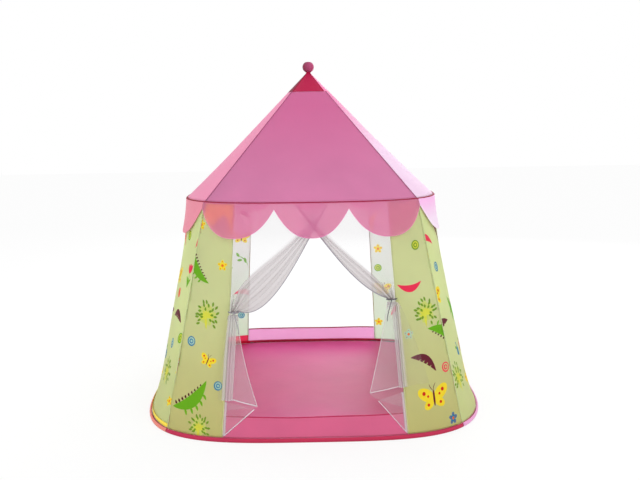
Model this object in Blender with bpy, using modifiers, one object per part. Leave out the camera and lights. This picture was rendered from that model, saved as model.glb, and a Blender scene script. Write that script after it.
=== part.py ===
"""A child's play tent: two spring hoops, four jointed corner poles, four roof ribs and sewn panels.

Metres, +Z up. The origin is on the floor at the middle of the tent, and the doorway faces -Y.
"""

import math

import bmesh
import bpy
from mathutils import Matrix, Vector

# Hoops and heights
FLOOR_HOOP_HALF = 0.660
FLOOR_HOOP_POWER = 3.57
EAVE_HOOP_HALF = 0.518
EAVE_HOOP_POWER = 2.92
EAVE_HEIGHT = 0.830
PEAK_HEIGHT = 1.360
WALL_WAIST_SHARE = 0.20
WALL_WAIST_POWER = 4
ROOF_SAG_SHARE = 0.10

# Cloth
FABRIC = 0.0010
MESH_CLOTH = 0.0010
SEAM_GAP = 0.0006
FIT = 0.0003

# Floor hoop, its joining ferrule and its sleeve
FLOOR_WIRE_RADIUS = 0.0025
FERRULE_WALL = 0.0008
FERRULE_LENGTH = 0.050
WIRE_END_GAP = 0.0010
SLEEVE_HEIGHT = 0.014
SLEEVE_OPENING = 0.070
OPENING_FROM_CORNER = 0.090
SLEEVE_END_GAP = 0.0012

# Eave hoop and its binding
EAVE_WIRE_RADIUS = 0.0020
BINDING_WALL = 0.0012
BINDING_OPENING = 0.060

# Doorways, front and back
DOOR_HALF_FLOOR = 0.329
DOOR_HALF_EAVE = 0.285
SILL_HEIGHT = 0.082

# Corner poles and roof ribs
POLE_RADIUS = 0.00475
POLE_WALL = 0.00135
LOWER_POLE_LENGTH = 0.430
SPIGOT_LENGTH = 0.035
SPIGOT_WALL = 0.0008
SOCKET_WALL = 0.0024
ELBOW_SOCKET = 0.034
ELBOW_ARM = 0.046
FOOT_SOCKET = 0.034
FOOT_BASE = 0.006

# Apex hub and finial
HUB_RADIUS = 0.019
HUB_HEIGHT = 0.030
HUB_BELOW_AXES = 0.010
HUB_EDGE = 0.003
HUB_SOCKET_START = 0.008
HUB_SOCKET_END = 0.048
HUB_BORE_START = 0.018
STEM_RADIUS = 0.0045
NECK_HALF = 0.0068
CAP_DROP = 0.093
BALL_RADIUS = 0.025
BALL_OVER_STEM = 0.0003

# Scalloped valance
VALANCE_DROP = 0.130
VALANCE_CUSP = 0.022
VALANCE_FLARE = 0.006
VALANCE_RIPPLE = 0.002
SCALLOPS = 3
SCALLOP_POWER = 2.4

# Door curtains: the tie gathers each one beside its jamb
CURTAIN_OVERLAP = 0.060
CURTAIN_LAP = 0.0012
CURTAIN_LAP_FULL = 0.014
GATHER_HEIGHT = {"left": 0.438, "right": 0.475}
GATHER_FROM_JAMB = 0.017
GATHER_HALF_WIDTH = 0.014
GATHER_HALF_DEPTH = 0.006
GATHER_FORWARD = 0.015
CURTAIN_END = 0.005
CURTAIN_ROWS = 12
SWAG_SAG_SHARES = {"left": (0.24, 0.60), "right": (0.12, 0.28)}
SWAG_DEPTH = 0.300
FOLD_DEPTH = 0.011
CURTAIN_FOLDS = 3
LAP_FULL_SHARE = 0.33
FOLD_FULL_SHARE = 0.62

# Curtain skirts, below the tie: how far each spreads from its jamb at the hem
SKIRT_TOP_BELOW_TIE = 0.010
SKIRT_FOOT_HEIGHT = 0.100
SKIRT_INTO_DOOR = {"left": 0.118, "right": 0.122}
SKIRT_OVER_WALL = {"left": 0.027, "right": 0.100}
SKIRT_EDGE_HEM = {"left": 0.112, "right": 0.150}
SKIRT_FRONT_HEM = {"left": 0.138, "right": 0.172}
SKIRT_TOP_INTO_DOOR = 0.031
SKIRT_TOP_OVER_WALL = 0.004
SKIRT_FLARE_POWER = {"left": 1.5, "right": 1.15}
SKIRT_SPREAD_POWER = 0.70
SKIRT_LAYER_GAP = 0.013
SKIRT_FOLD = 0.005
SKIRT_FOLDS = 3
SKIRT_BACK_SHARE = 0.42
SKIRT_TURN_SHARE = 0.25
SKIRT_SETTLE_WIDTH = 0.040
SKIRT_ON_WALL_SHARE = 0.10
HINGE_LOW = 0.100
HINGE_HIGH = 0.460
GUSSET_FOOT = 0.018
GUSSET_TOP = 0.0975
GUSSET_TOP_WIDTH = {"left": 0.110, "right": 0.096}

# Curtain ties
TIE_RADIUS = 0.0015
TIE_CLEARANCE = 0.0026
KNOT_RADIUS = 0.0048
TAIL_RADIUS = 0.0015
TAIL_ROUTE = (
    (0.0000, 0.0000, 0.0000),
    (-0.0010, -0.0040, -0.0020),
    (-0.0030, -0.0065, -0.0080),
    (-0.0058, -0.0075, -0.0170),
    (-0.0090, -0.0078, -0.0280),
    (-0.0122, -0.0074, -0.0400),
    (-0.0150, -0.0068, -0.0520),
    (-0.0168, -0.0064, -0.0640),
    (-0.0172, -0.0064, -0.0740),
)

# Facets
HOOP_FACETS = 48
SLEEVE_ROUND_STEPS = 3
POLE_STEPS = 10
TAIL_STEPS = 10

# Colours, as sRGB
CRIMSON = (0.79, 0.20, 0.36)
DEEP_CRIMSON = (0.52, 0.13, 0.22)
ROSE = (0.86, 0.50, 0.68)
SALMON = (0.93, 0.56, 0.66)
PALE_PINK = (0.98, 0.72, 0.92)
FLOOR_PINK = (0.80, 0.35, 0.51)
LEAF_GREEN = (0.79, 0.81, 0.58)
VOILE = (0.94, 0.93, 0.92)
CORD_GREY = (0.62, 0.61, 0.60)
STEEL = (0.62, 0.63, 0.65)
GLASS_FIBRE = (0.90, 0.90, 0.88)
WHITE_PLASTIC = (0.92, 0.92, 0.92)

SIDES = {"front": -0.5 * math.pi, "right": 0.0, "back": 0.5 * math.pi, "left": math.pi}
CORNERS = {
    "front_left": (-1, -1),
    "front_right": (1, -1),
    "back_right": (1, 1),
    "back_left": (-1, 1),
}
HANDS = {"left": -1, "right": 1}
QUARTER = 0.25 * math.pi

# Sizes that follow from those above
SLEEVE_FACET_SHARE = math.cos(math.pi / (2 * SLEEVE_ROUND_STEPS))
SLEEVE_ROUND = (FLOOR_WIRE_RADIUS + FIT + FABRIC / 2) / SLEEVE_FACET_SHARE
SLEEVE_HALF = SLEEVE_ROUND + FABRIC / 2
FLOOR_WIRE_HEIGHT = FABRIC + FIT + FLOOR_WIRE_RADIUS
BINDING_HALF_HEIGHT = EAVE_WIRE_RADIUS + FIT + BINDING_WALL
BINDING_RADIUS = BINDING_HALF_HEIGHT / math.cos(math.pi / 6)
WALL_BOTTOM = SLEEVE_HEIGHT + FIT
WALL_TOP = EAVE_HEIGHT - BINDING_HALF_HEIGHT - FIT
ROOF_SLOPE_LENGTH = math.hypot(EAVE_HOOP_HALF, PEAK_HEIGHT - EAVE_HEIGHT)
ROOF_BOTTOM_CLIMB = (BINDING_RADIUS + FIT) / ROOF_SLOPE_LENGTH
CAP_BOTTOM = PEAK_HEIGHT - CAP_DROP
SOCKET_BORE = POLE_RADIUS + FIT
SOCKET_RADIUS = SOCKET_BORE + SOCKET_WALL
FRAME_INSET = SOCKET_RADIUS + max(BINDING_RADIUS, SLEEVE_HALF) + FIT
CLOTH_TO_CLOTH = FABRIC + FIT


def lerp(a, b, share):
    return a + (b - a) * share


def ease(share):
    share = min(max(share, 0.0), 1.0)
    return share * share * (3 - 2 * share)


def squircle(half, power, turn):
    """How far out the side of a rounded square lies, on the ray whose sideways share is turn."""
    return half / (1 + abs(turn) ** power) ** (1 / power)


def corner_of(half, power):
    return squircle(half, power, 1)


def plan(side, out, turn):
    """A point on one side, out from the middle and sideways by turn times out."""
    angle = SIDES[side]
    outward = Vector((math.cos(angle), math.sin(angle), 0))
    along = Vector((-math.sin(angle), math.cos(angle), 0))
    return outward * out + along * (turn * out)


def wall_out(turn, height):
    """The wall is drawn in at mid-height, where no hoop spreads it."""
    rise = height / EAVE_HEIGHT
    half = lerp(FLOOR_HOOP_HALF, EAVE_HOOP_HALF, rise)
    power = lerp(FLOOR_HOOP_POWER, EAVE_HOOP_POWER, rise)
    corner = corner_of(half, power)
    waist = 1 - WALL_WAIST_SHARE * (1 - (2 * rise - 1) ** WALL_WAIST_POWER)
    return corner + (squircle(half, power, turn) - corner) * waist


def wall_point(side, turn, height, proud=0.0):
    return plan(side, wall_out(turn, height) + proud, turn) + Vector((0, 0, height))


def roof_point(side, turn, climb):
    """A point of the roof, climb running from 0 at the eave hoop to 1 at the peak."""
    corner = corner_of(EAVE_HOOP_HALF, EAVE_HOOP_POWER)
    sag = 1 - ROOF_SAG_SHARE * math.sin(math.pi * climb)
    out = corner + (squircle(EAVE_HOOP_HALF, EAVE_HOOP_POWER, turn) - corner) * sag
    height = lerp(EAVE_HEIGHT, PEAK_HEIGHT, climb)
    return plan(side, out * (1 - climb), turn) + Vector((0, 0, height))


def climb_at(height):
    return (height - EAVE_HEIGHT) / (PEAK_HEIGHT - EAVE_HEIGHT)


def jamb_half(height):
    return lerp(DOOR_HALF_FLOOR, DOOR_HALF_EAVE, height / EAVE_HEIGHT)


def turn_at(sideways, height):
    """The turn at which the wall lies this far from the middle of its side."""
    turn = sideways / wall_out(0.0, height)
    for _ in range(4):
        turn = sideways / wall_out(turn, height)
    return turn


def seam_turn(out):
    """The turn of a panel's edge at a corner seam, half the seam gap short of the corner."""
    return 1 - SEAM_GAP / (2 * out)


def turn_across(edge, across):
    """From -edge to edge in equal angles, as the hoops' facets are."""
    return math.tan(lerp(-1, 1, across) * math.atan(edge))


def front_out(sideways, height):
    return wall_out(turn_at(sideways, height), height)


# Collections and materials


def new_collection(name):
    collection = bpy.data.collections.new(name)
    bpy.context.scene.collection.children.link(collection)
    return collection


def linear(channel):
    return channel / 12.92 if channel <= 0.04045 else ((channel + 0.055) / 1.055) ** 2.4


def material(name, colour, roughness, metallic=0.0):
    made = bpy.data.materials.get(name)
    if made:
        return made
    made = bpy.data.materials.new(name)
    made.use_nodes = True
    shader = made.node_tree.nodes["Principled BSDF"]
    shader.inputs["Base Color"].default_value = (*[linear(c) for c in colour], 1)
    shader.inputs["Roughness"].default_value = roughness
    shader.inputs["Metallic"].default_value = metallic
    return made


def cloth(name, colour):
    return material(name, colour, 0.75)


def steel():
    return material("spring steel", STEEL, 0.35, 1.0)


def fibre():
    return material("glass fibre", GLASS_FIBRE, 0.45)


def plastic():
    return material("white moulded plastic", WHITE_PLASTIC, 0.4)


# Making solids


def add_object(name, data, look):
    made = bpy.data.objects.new(name, data)
    if look is None:
        CUTTERS.objects.link(made)
        made.hide_render = True
        made.display_type = "WIRE"
    else:
        PARTS.objects.link(made)
        data.materials.append(look)
    return made


def mesh_of(bm, name):
    data = bpy.data.meshes.new(name)
    bm.to_mesh(data)
    bm.free()
    return data


def thicken(made, wall, even=False):
    solid = made.modifiers.new("wall thickness", "SOLIDIFY")
    solid.thickness = wall
    solid.offset = 0
    solid.use_even_offset = even
    return made


def sheet(name, columns, rows, place, look, wall=FABRIC, origin=Vector()):
    """A grid laid over place(across, up), both from 0 to 1, and given the cloth's thickness."""
    bm = bmesh.new()
    bmesh.ops.create_grid(bm, x_segments=columns, y_segments=rows, size=1)
    for vert in bm.verts:
        vert.co = place((vert.co.x + 1) / 2, (vert.co.y + 1) / 2) - origin
    made = add_object(name, mesh_of(bm, name), look)
    made.location = origin
    made.data.shade_smooth()
    return thicken(made, wall)


def path_curve(name, points, look, closed=False):
    data = bpy.data.curves.new(name, "CURVE")
    data.dimensions = "3D"
    data.twist_mode = "Z_UP"
    spline = data.splines.new("POLY")
    spline.points.add(len(points) - 1)
    for target, point in zip(spline.points, points):
        target.co = (*point, 1)
    spline.use_cyclic_u = closed
    return add_object(name, data, look)


def rod(name, points, radius, look, roundness=2):
    made = path_curve(name, points, look)
    made.data.bevel_depth = radius
    made.data.bevel_resolution = roundness
    made.data.use_fill_caps = True
    return made


def tube(name, points, bore, wall, look, roundness=2):
    """A hollow tube, wide enough between its facets for the bore."""
    made = path_curve(name, points, look)
    facet_share = math.cos(math.pi / (4 + 2 * roundness))
    made.data.bevel_depth = (bore + wall / 2) / facet_share
    made.data.bevel_resolution = roundness
    return thicken(made, wall, even=True)


def to_mesh(made, look):
    """The curve object as a mesh object with its caps welded, so that a Boolean can cut it."""
    bpy.context.view_layer.update()
    graph = bpy.context.evaluated_depsgraph_get()
    data = bpy.data.meshes.new_from_object(made.evaluated_get(graph))
    bm = bmesh.new()
    bm.from_mesh(data)
    bmesh.ops.remove_doubles(bm, verts=bm.verts, dist=0.1 * FIT)
    bm.to_mesh(data)
    bm.free()
    name, place = made.name, made.matrix_world.copy()
    bpy.data.objects.remove(made)
    data.materials.clear()
    new = add_object(name, data, look)
    new.matrix_world = place
    return new


def turned(name, outline, look, steps=POLE_STEPS, closed=False):
    """An outline of (radius, height) pairs turned about Z, listed down its outer side."""
    bm = bmesh.new()
    verts = [bm.verts.new((radius, 0, height)) for radius, height in outline]
    for first, second in zip(verts, verts[1:] + (verts[:1] if closed else [])):
        bm.edges.new((first, second))
    made = add_object(name, mesh_of(bm, name), look)
    screw = made.modifiers.new("turned", "SCREW")
    screw.steps = screw.render_steps = steps
    screw.use_merge_vertices = not closed
    screw.merge_threshold = 0.1 * FIT
    screw.use_smooth_shade = True
    return made


def cylinder(name, radius, low, high, look=None, sides=12):
    bm = bmesh.new()
    bmesh.ops.create_cone(
        bm, cap_ends=True, segments=sides, radius1=radius, radius2=radius, depth=high - low
    )
    bmesh.ops.translate(bm, verts=bm.verts, vec=(0, 0, (high + low) / 2))
    return add_object(name, mesh_of(bm, name), look)


def stand(made, foot, direction):
    """Puts the object's own +Z along direction, with its origin at foot."""
    spin = Vector((0, 0, 1)).rotation_difference(direction.normalized())
    made.matrix_world = Matrix.Translation(foot) @ spin.to_matrix().to_4x4()
    return made


def combine(made, other, operation):
    step = made.modifiers.new(operation.lower(), "BOOLEAN")
    step.operation = operation
    step.solver = "EXACT"
    step.object = other


# Hoops, sleeves and binding


def hoop_point(half, power, height, angle):
    """A point on a hoop, at this polar angle."""
    turned_by = (angle + QUARTER) % (2 * QUARTER) - QUARTER
    out = squircle(half, power, math.tan(turned_by)) / math.cos(turned_by)
    return Vector((out * math.cos(angle), out * math.sin(angle), height))


def hoop_arc(half, power, height, start, end, marks=()):
    """Points from start to end, at every facet's corner and every mark on the way.

    All that runs along one hoop has its facets in the same places, so that it nests.
    """
    step = 2 * math.pi / HOOP_FACETS
    angles = [i * step for i in range(math.ceil(start / step), math.floor(end / step) + 1)]
    angles += [mark + turn * 2 * math.pi for mark in marks for turn in (-1, 0, 1)]
    inside = {round(angle, 6) for angle in angles if start < round(angle, 6) < end}
    return [hoop_point(half, power, height, angle) for angle in sorted({start, end} | inside)]


def angle_span(length, half):
    return length / half


def either_side(angle, length, half):
    return angle - angle_span(length, half) / 2, angle + angle_span(length, half) / 2


def floor_joint():
    """Where the floor hoop's ends meet, between the back and its left corner."""
    corner = corner_of(FLOOR_HOOP_HALF, FLOOR_HOOP_POWER)
    return SIDES["back"] + math.atan((corner - OPENING_FROM_CORNER) / FLOOR_HOOP_HALF)


def floor_marks():
    lengths = (WIRE_END_GAP, FERRULE_LENGTH, SLEEVE_OPENING)
    return [m for size in lengths for m in either_side(floor_joint(), size, FLOOR_HOOP_HALF)]


def floor_arc(height, start, end):
    return hoop_arc(FLOOR_HOOP_HALF, FLOOR_HOOP_POWER, height, start, end, floor_marks())


def floor_hoop():
    end, start = either_side(floor_joint(), WIRE_END_GAP, FLOOR_HOOP_HALF)
    points = floor_arc(FLOOR_WIRE_HEIGHT, start, end + 2 * math.pi)
    rod("floor_hoop", points, FLOOR_WIRE_RADIUS, steel(), roundness=1)


def floor_hoop_ferrule():
    points = floor_arc(
        FLOOR_WIRE_HEIGHT, *either_side(floor_joint(), FERRULE_LENGTH, FLOOR_HOOP_HALF)
    )
    tube("floor_hoop_ferrule", points, FLOOR_WIRE_RADIUS + FIT, FERRULE_WALL, steel())


def sleeve_section():
    """The sleeve's upright, round-ended section, along the middle of its cloth."""
    low = FLOOR_WIRE_HEIGHT
    points = []
    for centre, start in ((SLEEVE_HEIGHT - low, 0.0), (low, math.pi)):
        for i in range(SLEEVE_ROUND_STEPS + 1):
            angle = start + math.pi * i / SLEEVE_ROUND_STEPS
            across, up = SLEEVE_ROUND * math.cos(angle), SLEEVE_ROUND * math.sin(angle)
            points.append((across, centre + up, 0))
    section = path_curve("sleeve_section", points, None, closed=True)
    section.data.dimensions = "2D"
    return section


def floor_hoop_sleeves():
    section = sleeve_section()
    end_gap = angle_span(SLEEVE_END_GAP, corner_of(FLOOR_HOOP_HALF, FLOOR_HOOP_POWER))
    looks = {"front": CRIMSON, "right": PALE_PINK, "back": CRIMSON, "left": SALMON}
    for side, middle in SIDES.items():
        start, end = middle - QUARTER + end_gap, middle + QUARTER - end_gap
        if side == "back":
            end = either_side(floor_joint(), SLEEVE_OPENING, FLOOR_HOOP_HALF)[0]
        look = cloth(f"{side} sleeve cloth", looks[side])
        made = path_curve(f"{side}_hoop_sleeve", floor_arc(0.0, start, end), look)
        made.data.bevel_mode = "OBJECT"
        made.data.bevel_object = section
        thicken(made, FABRIC, even=True)


def eave_arc(start, end):
    lengths = (WIRE_END_GAP, FERRULE_LENGTH, BINDING_OPENING)
    marks = [m for size in lengths for m in either_side(SIDES["back"], size, EAVE_HOOP_HALF)]
    return hoop_arc(EAVE_HOOP_HALF, EAVE_HOOP_POWER, EAVE_HEIGHT, start, end, marks)


def eave_hoop():
    end, start = either_side(SIDES["back"], WIRE_END_GAP, EAVE_HOOP_HALF)
    points = eave_arc(start, end + 2 * math.pi)
    rod("eave_hoop", points, EAVE_WIRE_RADIUS, steel(), roundness=1)


def eave_hoop_ferrule():
    points = eave_arc(*either_side(SIDES["back"], FERRULE_LENGTH, EAVE_HOOP_HALF))
    tube("eave_hoop_ferrule", points, EAVE_WIRE_RADIUS + FIT, FERRULE_WALL, steel())


def eave_binding():
    end, start = either_side(SIDES["back"], BINDING_OPENING, EAVE_HOOP_HALF)
    points = eave_arc(start, end + 2 * math.pi)
    look = cloth("binding tape", DEEP_CRIMSON)
    tube("eave_binding", points, EAVE_WIRE_RADIUS + FIT, BINDING_WALL, look, roundness=1)


# Floor, walls and sills


def floor_sheet():
    half = FLOOR_HOOP_HALF - SLEEVE_HALF - FIT
    data = bpy.data.curves.new("floor_sheet", "CURVE")
    data.dimensions = "2D"
    data.fill_mode = "BOTH"
    data.extrude = FABRIC / 2
    points = hoop_arc(half, FLOOR_HOOP_POWER, 0.0, 0.0, 2 * math.pi)[:-1]
    spline = data.splines.new("POLY")
    spline.points.add(len(points) - 1)
    for target, point in zip(spline.points, points):
        target.co = (*point, 1)
    spline.use_cyclic_u = True
    made = add_object("floor_sheet", data, cloth("floor cloth", FLOOR_PINK))
    made.location.z = FABRIC / 2


def side_wall(side):
    def place(across, up):
        height = lerp(WALL_BOTTOM, WALL_TOP, up)
        edge = seam_turn(wall_out(1, height))
        return wall_point(side, turn_across(edge, across), height)

    sheet(f"{side}_wall", 12, 7, place, cloth("wall cloth", LEAF_GREEN))


def door_panel(side, hand):
    """The strip of wall between a doorway's jamb and the corner to its left or right, seen from -Y."""
    facing = HANDS[hand] * (1 if side == "front" else -1)

    def place(across, up):
        height = lerp(WALL_BOTTOM, WALL_TOP, up)
        jamb = turn_at(jamb_half(height) + SEAM_GAP / 2, height)
        corner = seam_turn(wall_out(1, height))
        return wall_point(side, facing * lerp(jamb, corner, across), height)

    sheet(f"{side}_{hand}_panel", 5, 7, place, cloth("wall cloth", LEAF_GREEN))


def sill(side):
    def place(across, up):
        height = lerp(WALL_BOTTOM, SILL_HEIGHT, up)
        jamb = turn_at(jamb_half(height) - SEAM_GAP / 2, height)
        return wall_point(side, lerp(-jamb, jamb, across), height)

    sheet(f"{side}_sill", 10, 2, place, cloth("sill cloth", ROSE))


# Roof, cap and valance


def roof_panel(side, colour):
    top = climb_at(CAP_BOTTOM - SEAM_GAP)

    def place(across, up):
        climb = lerp(ROOF_BOTTOM_CLIMB, top, up)
        edge = seam_turn(corner_of(EAVE_HOOP_HALF, EAVE_HOOP_POWER) * (1 - climb))
        return roof_point(side, turn_across(edge, across), climb)

    sheet(f"{side}_roof_panel", 12, 4, place, cloth(f"{side} roof cloth", colour))


def roof_cap():
    """One cone of cloth over the hub, open at the neck where the hub's stem comes through."""
    neck = 1 - NECK_HALF / EAVE_HOOP_HALF
    bottom = climb_at(CAP_BOTTOM)
    bm = bmesh.new()
    bmesh.ops.create_cone(bm, cap_ends=False, segments=32, radius1=1, radius2=1, depth=1)
    for vert in bm.verts:
        angle = math.atan2(vert.co.y, vert.co.x)
        quarter_turns = math.floor((angle + QUARTER) / (2 * QUARTER)) % 4
        side = ("right", "back", "left", "front")[quarter_turns]
        turn = math.tan((angle + QUARTER) % (2 * QUARTER) - QUARTER)
        vert.co = roof_point(side, turn, neck if vert.co.z > 0 else bottom)
    made = add_object("roof_cap", mesh_of(bm, "roof_cap"), cloth("cap cloth", CRIMSON))
    thicken(made, FABRIC)


def valance(side, colour):
    """Hangs outside the eave binding, its lower edge cut in deep scallops that meet in points."""
    reach = BINDING_RADIUS + FIT + FABRIC / 2

    def place(across, down):
        along = across * SCALLOPS
        lobe = 2 * (along - min(math.floor(along), SCALLOPS - 1)) - 1
        cut = VALANCE_CUSP + (VALANCE_DROP - VALANCE_CUSP) * (1 - abs(lobe) ** SCALLOP_POWER)
        drop = down * cut
        share = drop / VALANCE_DROP
        ripple = VALANCE_RIPPLE * share * math.cos(math.pi * lobe)
        proud = reach + VALANCE_FLARE * share + ripple
        height = EAVE_HEIGHT - drop
        edge = seam_turn(wall_out(1, height) + proud)
        return wall_point(side, turn_across(edge, across), height, proud)

    sheet(f"{side}_valance", 8 * SCALLOPS, 3, place, cloth(f"{side} valance cloth", colour))


# Poles, ribs and their fittings


class Corner:
    """The straight lines that the pole and the rib follow inside one corner's seams."""

    def __init__(self, signs):
        self.diagonal = Vector((*signs, 0)).normalized()
        root_two = math.sqrt(2)
        floor = corner_of(FLOOR_HOOP_HALF, FLOOR_HOOP_POWER) * root_two
        eave = corner_of(EAVE_HOOP_HALF, EAVE_HOOP_POWER) * root_two
        pole = Vector((eave - floor, EAVE_HEIGHT)).normalized()
        rib = Vector((-eave, PEAK_HEIGHT - EAVE_HEIGHT)).normalized()
        inward = Vector((-pole.y, pole.x)) + Vector((-rib.y, rib.x))
        inward.normalize()
        lean = inward.dot(Vector((-pole.y, pole.x)))
        bend = Vector((eave, EAVE_HEIGHT)) + inward * (FRAME_INSET / lean)
        self.pole_way, self.rib_way = self.lift(pole), self.lift(rib)
        self.bend = self.lift(bend)
        self.foot = self.lift(bend - pole * ((bend.y - FABRIC - FIT) / pole.y))
        self.apex = self.lift(bend + rib * (bend.x / -rib.x))

    def lift(self, flat):
        return self.diagonal * flat.x + Vector((0, 0, flat.y))


def foot_cup(name, corner):
    """The end cup sewn into the corner pocket, moulded flat underneath although the pole leans."""
    outline = (
        (0, FOOT_BASE),
        (SOCKET_BORE, FOOT_BASE),
        (SOCKET_BORE, FOOT_BASE + FOOT_SOCKET),
        (SOCKET_RADIUS, FOOT_BASE + FOOT_SOCKET),
        (SOCKET_RADIUS, -FOOT_BASE),
        (0, -FOOT_BASE),
    )
    cup = stand(turned(f"{name}_foot_cup", outline, plastic()), corner.foot, corner.pole_way)
    combine(cup, bpy.data.objects["floor_cutter"], "DIFFERENCE")


def floor_cutter():
    """A slab that takes off whatever reaches under the top of the floor sheet."""
    bm = bmesh.new()
    bmesh.ops.create_cube(bm, size=1)
    depth = 4 * FOOT_BASE
    top = FABRIC + FIT
    for vert in bm.verts:
        vert.co.x *= 2 * FLOOR_HOOP_HALF
        vert.co.y *= 2 * FLOOR_HOOP_HALF
        vert.co.z = top if vert.co.z > 0 else top - depth
    add_object("floor_cutter", mesh_of(bm, "floor_cutter"), None)


def wall_pole(name, corner):
    """A lower tube with a steel spigot and the upper tube that slides over it."""
    bore = POLE_RADIUS - POLE_WALL
    spigot = bore - FIT
    foot = corner.foot + corner.pole_way * (FOOT_BASE + FIT)
    lower_outline = (
        (spigot, LOWER_POLE_LENGTH + SPIGOT_LENGTH),
        (spigot, LOWER_POLE_LENGTH),
        (POLE_RADIUS, LOWER_POLE_LENGTH),
        (POLE_RADIUS, 0),
        (bore, 0),
        (bore, LOWER_POLE_LENGTH - SPIGOT_LENGTH),
        (spigot - SPIGOT_WALL, LOWER_POLE_LENGTH - SPIGOT_LENGTH),
        (spigot - SPIGOT_WALL, LOWER_POLE_LENGTH + SPIGOT_LENGTH),
    )
    lower = turned(f"{name}_lower_pole", lower_outline, fibre(), closed=True)
    stand(lower, foot, corner.pole_way)
    start = foot + corner.pole_way * (LOWER_POLE_LENGTH + FIT)
    end = corner.bend - corner.pole_way * (ELBOW_ARM - ELBOW_SOCKET + FIT)
    length = (end - start).length
    stand(pipe(f"{name}_upper_pole", length), start, corner.pole_way)


def pipe(name, length):
    bore = POLE_RADIUS - POLE_WALL
    outline = ((POLE_RADIUS, length), (POLE_RADIUS, 0), (bore, 0), (bore, length))
    return turned(name, outline, fibre(), closed=True)


def roof_rib(name, corner):
    start = corner.bend + corner.rib_way * (ELBOW_ARM - ELBOW_SOCKET + FIT)
    end = corner.apex - corner.rib_way * (HUB_BORE_START + FIT)
    stand(pipe(f"{name}_roof_rib", (end - start).length), start, corner.rib_way)


def eave_elbow(name, corner):
    """A bent tube with a socket for the pole below and one for the rib above."""
    straight = ELBOW_ARM - ELBOW_SOCKET
    low = corner.bend - corner.pole_way * straight
    high = corner.bend + corner.rib_way * straight
    points = [corner.bend - corner.pole_way * ELBOW_ARM]
    for share in (0, 0.25, 0.5, 0.75, 1):
        points.append(low.lerp(corner.bend, share).lerp(corner.bend.lerp(high, share), share))
    points.append(corner.bend + corner.rib_way * ELBOW_ARM)
    elbow = rod(f"{name}_eave_elbow", points, SOCKET_RADIUS, plastic())
    elbow = to_mesh(elbow, plastic())
    for end, way in ((low, -corner.pole_way), (high, corner.rib_way)):
        bore = cylinder(f"{elbow.name}_bore", SOCKET_BORE, 0, ELBOW_ARM, sides=POLE_STEPS)
        combine(elbow, stand(bore, end, way), "DIFFERENCE")


def apex_hub(corners):
    """A turned boss with a stem for the finial and four sockets pointing down the ribs."""
    centre = corners["front_left"].apex
    top = centre.z - HUB_BELOW_AXES
    bottom = top - HUB_HEIGHT
    stem_top = finial_bottom() - BALL_OVER_STEM
    outline = (
        (0, stem_top),
        (STEM_RADIUS, stem_top),
        (STEM_RADIUS, top),
        (HUB_RADIUS - HUB_EDGE, top),
        (HUB_RADIUS, top - HUB_EDGE),
        (HUB_RADIUS, bottom + HUB_EDGE),
        (HUB_RADIUS - HUB_EDGE, bottom),
        (0, bottom),
    )
    hub = turned("apex_hub", outline, plastic(), steps=16)
    for name, corner in corners.items():
        socket = cylinder(f"{name}_socket", SOCKET_RADIUS, HUB_SOCKET_START, HUB_SOCKET_END)
        combine(hub, stand(socket, corner.apex, -corner.rib_way), "UNION")
    for name, corner in corners.items():
        end = HUB_SOCKET_END + SOCKET_RADIUS
        bore = cylinder(f"{name}_bore", SOCKET_BORE, HUB_BORE_START, end)
        combine(hub, stand(bore, corner.apex, -corner.rib_way), "DIFFERENCE")


def finial_bottom():
    """The ball comes down until its cloth meets the neck of the cap."""
    neck = roof_point("front", 0.0, 1 - NECK_HALF / EAVE_HOOP_HALF)
    reach = BALL_RADIUS + FABRIC / 2 + FIT
    return neck.z + math.sqrt(reach**2 - neck.y**2) - BALL_RADIUS


def finial_ball():
    bm = bmesh.new()
    bmesh.ops.create_uvsphere(bm, u_segments=16, v_segments=10, radius=BALL_RADIUS)
    look = cloth("finial cloth", CRIMSON)
    made = add_object("finial_ball", mesh_of(bm, "finial_ball"), look)
    made.data.shade_smooth()
    made.location.z = finial_bottom() + BALL_RADIUS


# Door curtains


def door_place(hand, inward, forward, height):
    """A point beside a front jamb: inward into the doorway, forward of the cloth there."""
    sideways = jamb_half(height) - inward
    out = front_out(sideways, height) + forward
    return Vector((HANDS[hand] * sideways, -out, height))


def hinge_line(hand):
    """The sewn edge of a skirt runs straight down just inside the jamb."""
    low = door_place(hand, FABRIC / 2, FABRIC / 2, HINGE_LOW)
    high = door_place(hand, FABRIC / 2, FABRIC / 2, HINGE_HIGH)
    return low, high


def hinge_point(hand, height):
    low, high = hinge_line(hand)
    return low.lerp(high, (height - low.z) / (high.z - low.z))


def gather_centre(hand):
    seam = hinge_point(hand, GATHER_HEIGHT[hand])
    return seam + Vector((-HANDS[hand] * GATHER_FROM_JAMB, -GATHER_FORWARD, 0))


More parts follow.
